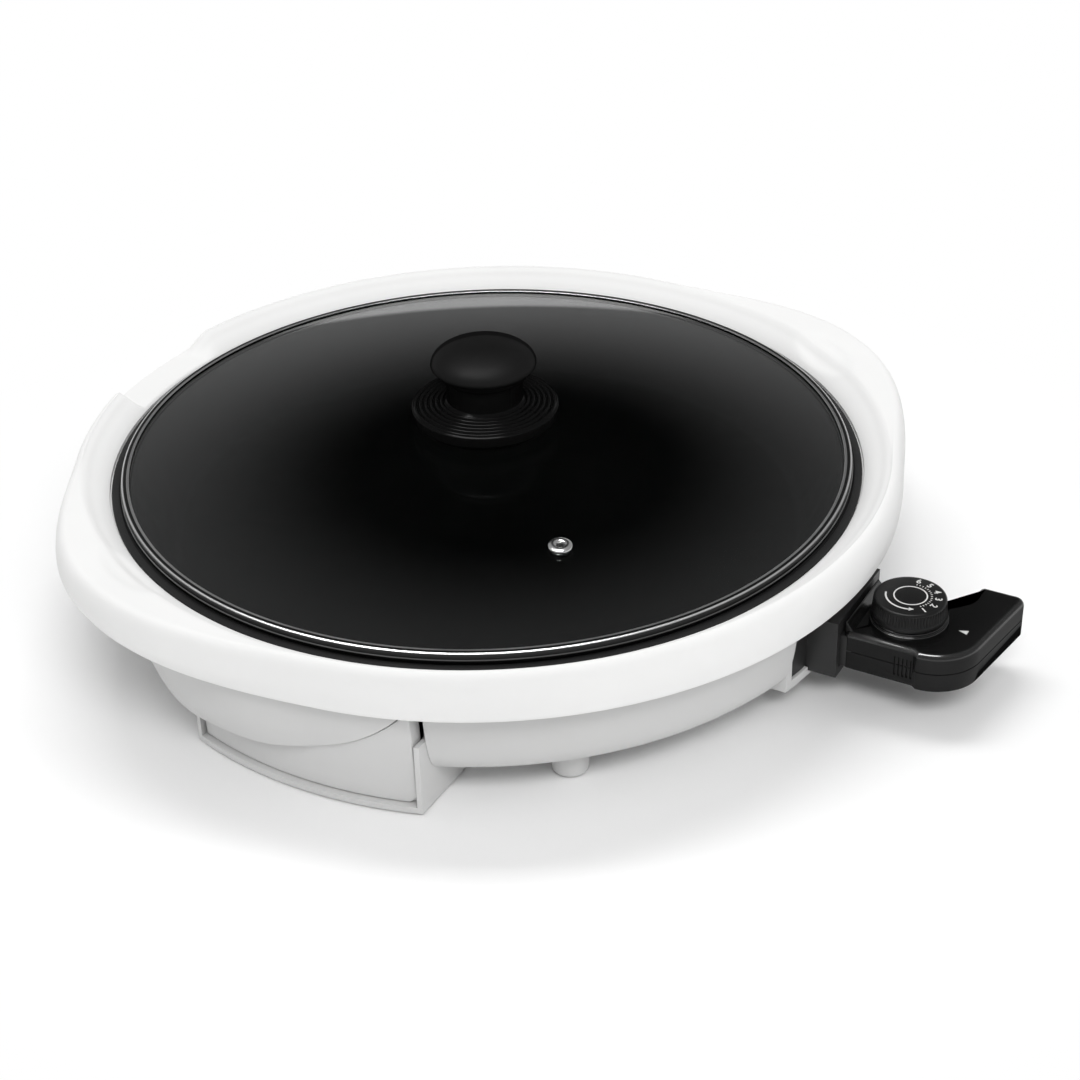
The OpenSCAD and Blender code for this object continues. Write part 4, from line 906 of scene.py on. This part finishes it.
def make_dial():
    """Ribbed dial with a plain skirt and a flat face, as levels of (height, radius, ribbed)."""
    r, per_rib = DIAL_R, len(RIB_WAVE)
    steps = DIAL_RIBS * per_rib
    levels = [(0, r - 0.5, 0), (0.3, r - 0.1, 0), (0.7, r, 0), (2.3, r, 0), (2.7, r - 0.15, 0),
              (3.0, r - 0.2, 0), (3.4, r - 0.22, 1), (8.6, r - 0.7, 1), (9.0, r - 0.75, 0),
              (9.6, r - 0.85, 0), (10.1, r - 1.1, 0), (10.45, r - 1.6, 0), (DIAL_H, r - 2.2, 0)]
    loops = []
    for h, radius, ribbed in levels:
        loop = []
        for k in range(steps):
            a = 2 * math.pi * k / steps
            q = radius - ribbed * RIB_DEPTH * RIB_WAVE[k % per_rib]
            loop.append((DIAL_X + q * math.cos(a), q * math.sin(a), DIAL_Z + h))
        loops.append(loop)
    build("dial_form", *stack(loops), "dial", "dial_plastic", ["dial"], sharp=40)


def on_dial(r, degrees):
    """A point on the dial's face, by radius and bearing."""
    a = math.radians(degrees)
    return (DIAL_X + r * math.cos(a), r * math.sin(a))


def printed_arc(r0, r1, a0, a1, steps=48):
    """A printed arc on the dial's face."""
    low, high = PRINT_Z, PRINT_Z + PRINT_T
    rows = []
    for k in range(steps + 1):
        a = a0 + (a1 - a0) * k / steps
        rows.append([(*on_dial(r, a), h) for r, h in ((r0, low), (r1, low), (r1, high), (r0, high))])
    return stack(rows)


def make_print():
    """Inner ring, turning arrow, ticks and plain numbers on the dial."""
    ring = printed_arc(7.8, 8.5, 0, 359.99, steps=128)
    arrow = printed_arc(11.7, 12.6, 190, 288)
    tip = [on_dial(10.7, 286), on_dial(13.6, 286), on_dial(12.15, 298)]
    head = raised(tip, (PRINT_Z, PRINT_Z + PRINT_T))
    ticks = [printed_arc(9.9, 10.9, a - TICK_HALF, a + TICK_HALF, steps=4) for a in TICKS]
    build("dial_print", *joined(ring, arrow, head, *ticks), "dial", "pale_print")
    for i, a in enumerate(NUMBERS):
        make_digit(i + 1, a)


def make_digit(value, degrees):
    """A plain number on the dial, standing outward."""
    number = bpy.data.curves.new("dial_number", "FONT")
    number.body = str(value)
    number.size = NUMBER_SIZE * MM
    number.offset = 0.1 * MM
    number.extrude = PRINT_T / 2 * MM
    number.align_x = "CENTER"
    number.align_y = "CENTER"
    text = placed("dial_number_%d" % value, number)
    spot = to_frame(*on_dial(NUMBER_R, degrees), PRINT_Z + PRINT_T / 2)
    turn = Matrix.Rotation(math.radians(degrees) - math.pi / 2, 4, "Z")
    text.matrix_world = Matrix.Translation(spot) @ turn
    graph = bpy.context.evaluated_depsgraph_get()
    mesh = bpy.data.meshes.new_from_object(text.evaluated_get(graph))
    mesh.materials.clear()
    mesh.materials.append(FINISH["pale_print"])
    digit = placed("dial_digit_%d" % value, mesh)
    digit.matrix_world = text.matrix_world.copy()
    bpy.data.objects.remove(text)
    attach(digit, "dial")


# CAD nodes that stay

def dress_nodes():
    """Gives each CAD node its material, the white ones a darker copy with painted shade, and rounds
    the edges of the plain ones.
    """
    for part in frame["record"]["subparts"]:
        node = frame["nodes"][part["node"]]
        node.data.materials.clear()
        slot = part["material_slot"]
        # Painted shade: white CAD nodes take the darker copy of the white plastic
        node.data.materials.append(FINISH["white_plastic_shaded" if slot == "white_plastic" else slot])
        width = ROUNDED_NODES.get(part["node"])
        if width:
            weld = node.modifiers.new("Weld", "WELD")
            weld.merge_threshold = 1e-5
            flat = node.modifiers.new("Flat", "DECIMATE")
            flat.decimate_type = "DISSOLVE"
            flat.angle_limit = math.radians(0.3)
            bevelled(node, width)


# Stage

def turned(x, y, z):
    """A point or direction in the photo's frame (right, away, up), turned into the row frame."""
    return Matrix.Rotation(math.radians(VIEW_TURN), 3, "Z") @ Vector((x, y, z))


def posed(thing, spot, side, head, back):
    """Sets an object at a spot, with its own three axes along the given ones."""
    columns = Matrix((side, head, back)).transposed().to_4x4()
    thing.matrix_world = Matrix.Translation(spot) @ columns


def make_camera():
    p, r = math.radians(CAM_PITCH), math.radians(CAM_ROLL)
    right, up = Vector((1, 0, 0)), Vector((0, math.sin(p), math.cos(p)))
    ahead = turned(0, math.cos(p), -math.sin(p))
    side = turned(*(right * math.cos(r) + up * math.sin(r)))
    head = turned(*(up * math.cos(r) - right * math.sin(r)))
    camera = placed("Camera", bpy.data.cameras.new("Camera"))
    camera.data.lens = FOCAL
    camera.data.sensor_width = 36.0
    camera.data.sensor_fit = "HORIZONTAL"
    camera.data.clip_end = 60.0
    spot = turned(*CAM_AT) * MM + Vector((AXIS_X, AXIS_Y, LID_PLANE_Z)) * MM
    posed(camera, spot, side, head, -ahead)
    bpy.context.scene.camera = camera


def make_floor():
    """Pale floor that keeps the shadow near the object and is white farther out."""
    h = FLOOR_HALF
    mesh = bpy.data.meshes.new("floor")
    mesh.from_pydata([(-h, -h, 0), (h, -h, 0), (h, h, 0), (-h, h, 0)], [], [(0, 1, 2, 3)])
    floor = placed("floor", mesh)
    mat = finish("floor", grey(0.94), 0.9, tint=0.004, tint_scale=3.0, grain=0.0, level=0.1)
    mesh.materials.append(mat)
    tree = mat.node_tree
    place = add(tree, "TexCoord").outputs["Object"]
    distance = add(tree, "VectorMath", {0: place}, operation="LENGTH").outputs["Value"]
    far = remap(tree, distance, SHADOW_NEAR, SHADOW_FAR, kind="SMOOTHSTEP")
    share = maths(tree, "MULTIPLY", seen_rays(tree), far)
    plain = tree.nodes["Principled BSDF"].outputs["BSDF"]
    white = add(tree, "Emission").outputs["Emission"]
    mix = add(tree, "MixShader", {"Fac": share, 1: plain, 2: white})
    feed(tree, tree.nodes["Material Output"].inputs["Surface"], mix.outputs["Shader"])


def seen_rays(tree):
    """1 for rays from the camera and for those seen in metal or through glass."""
    path = add(tree, "LightPath").outputs
    first = maths(tree, "MAXIMUM", path["Is Camera Ray"], path["Is Glossy Ray"])
    return maths(tree, "MAXIMUM", first, path["Is Transmission Ray"])


def softbox(name, place, aim, size, power):
    """A rectangular studio lamp, placed in the photo's frame in metres."""
    lamp = bpy.data.lights.new(name, "AREA")
    lamp.shape = "RECTANGLE"
    lamp.size, lamp.size_y = size
    lamp.energy = power
    light = placed(name, lamp)
    back = (turned(*place) - turned(*aim)).normalized()
    steep = abs(back.z) > 0.7
    upright = turned(0, 1, 0) if steep else Vector((0, 0, 1))
    side = upright.cross(back).normalized()
    posed(light, turned(*place), side, back.cross(side), back)
    light.visible_glossy = False
    light.visible_transmission = False
    return light


def make_sheen():
    """A lamp that only draws the highlights on the dark plastic and the metal."""
    light = softbox("sheen", *SHEEN)
    light.visible_glossy = True
    light.visible_diffuse = False
    shiny = bpy.data.collections.new("shiny")
    for name in SHINY_PIECES:
        shiny.objects.link(bpy.data.objects[name])
    light.light_linking.receiver_collection = shiny


def black_screen(tree, place):
    """0 in the middle of the screen that the lid reflects, 1 well outside it."""
    middle = turned(*SCREEN_AT).normalized()
    across = turned(SCREEN_AT[1], -SCREEN_AT[0], 0).normalized()
    above = across.cross(middle)
    offset = add(tree, "CombineXYZ")
    for axis, reach, socket in ((across, SCREEN_WIDE, "X"), (above, SCREEN_TALL, "Y")):
        along = add(tree, "VectorMath", {0: place, 1: axis / reach}, operation="DOT_PRODUCT")
        feed(tree, offset.inputs[socket], along.outputs["Value"])
    spread = add(tree, "VectorMath", {0: offset.outputs["Vector"]}, operation="LENGTH")
    return remap(tree, spread.outputs["Value"], 0.7, 2.0, kind="SMOOTHSTEP")


def make_world():
    """Dim studio light; what is seen of it is a white horizon and a grey room with a screen."""
    world = bpy.data.worlds.new("studio")
    bpy.context.scene.world = world
    world.use_nodes = True
    tree = world.node_tree
    place = add(tree, "TexCoord").outputs["Generated"]
    room = remap(tree, upward(tree, place), HORIZON_LOW, HORIZON_HIGH, 1.0, ROOM_GREY)
    shown = maths(tree, "MULTIPLY", room, black_screen(tree, place))
    light = tree.nodes["Background"]
    light.inputs["Color"].default_value = (*grey(AMBIENT), 1)
    view = add(tree, "Background", {"Color": shown}).outputs["Background"]
    mix = add(tree, "MixShader", {"Fac": seen_rays(tree), 1: light.outputs["Background"], 2: view})
    feed(tree, tree.nodes["World Output"].inputs["Surface"], mix.outputs["Shader"])


def make_stage():
    make_camera()
    make_floor()
    for name, lamp in LAMPS.items():
        softbox(name, *lamp)
    make_sheen()
    make_world()


dress_nodes()
make_ring()
make_bowl()
make_drawer()
make_pan()
make_lid()
make_knob_flange()
make_knob_crown()
make_case()
make_pointer()
make_dial()
make_print()
make_stage()

scene = bpy.context.scene
scene.view_settings.view_transform = "Standard"
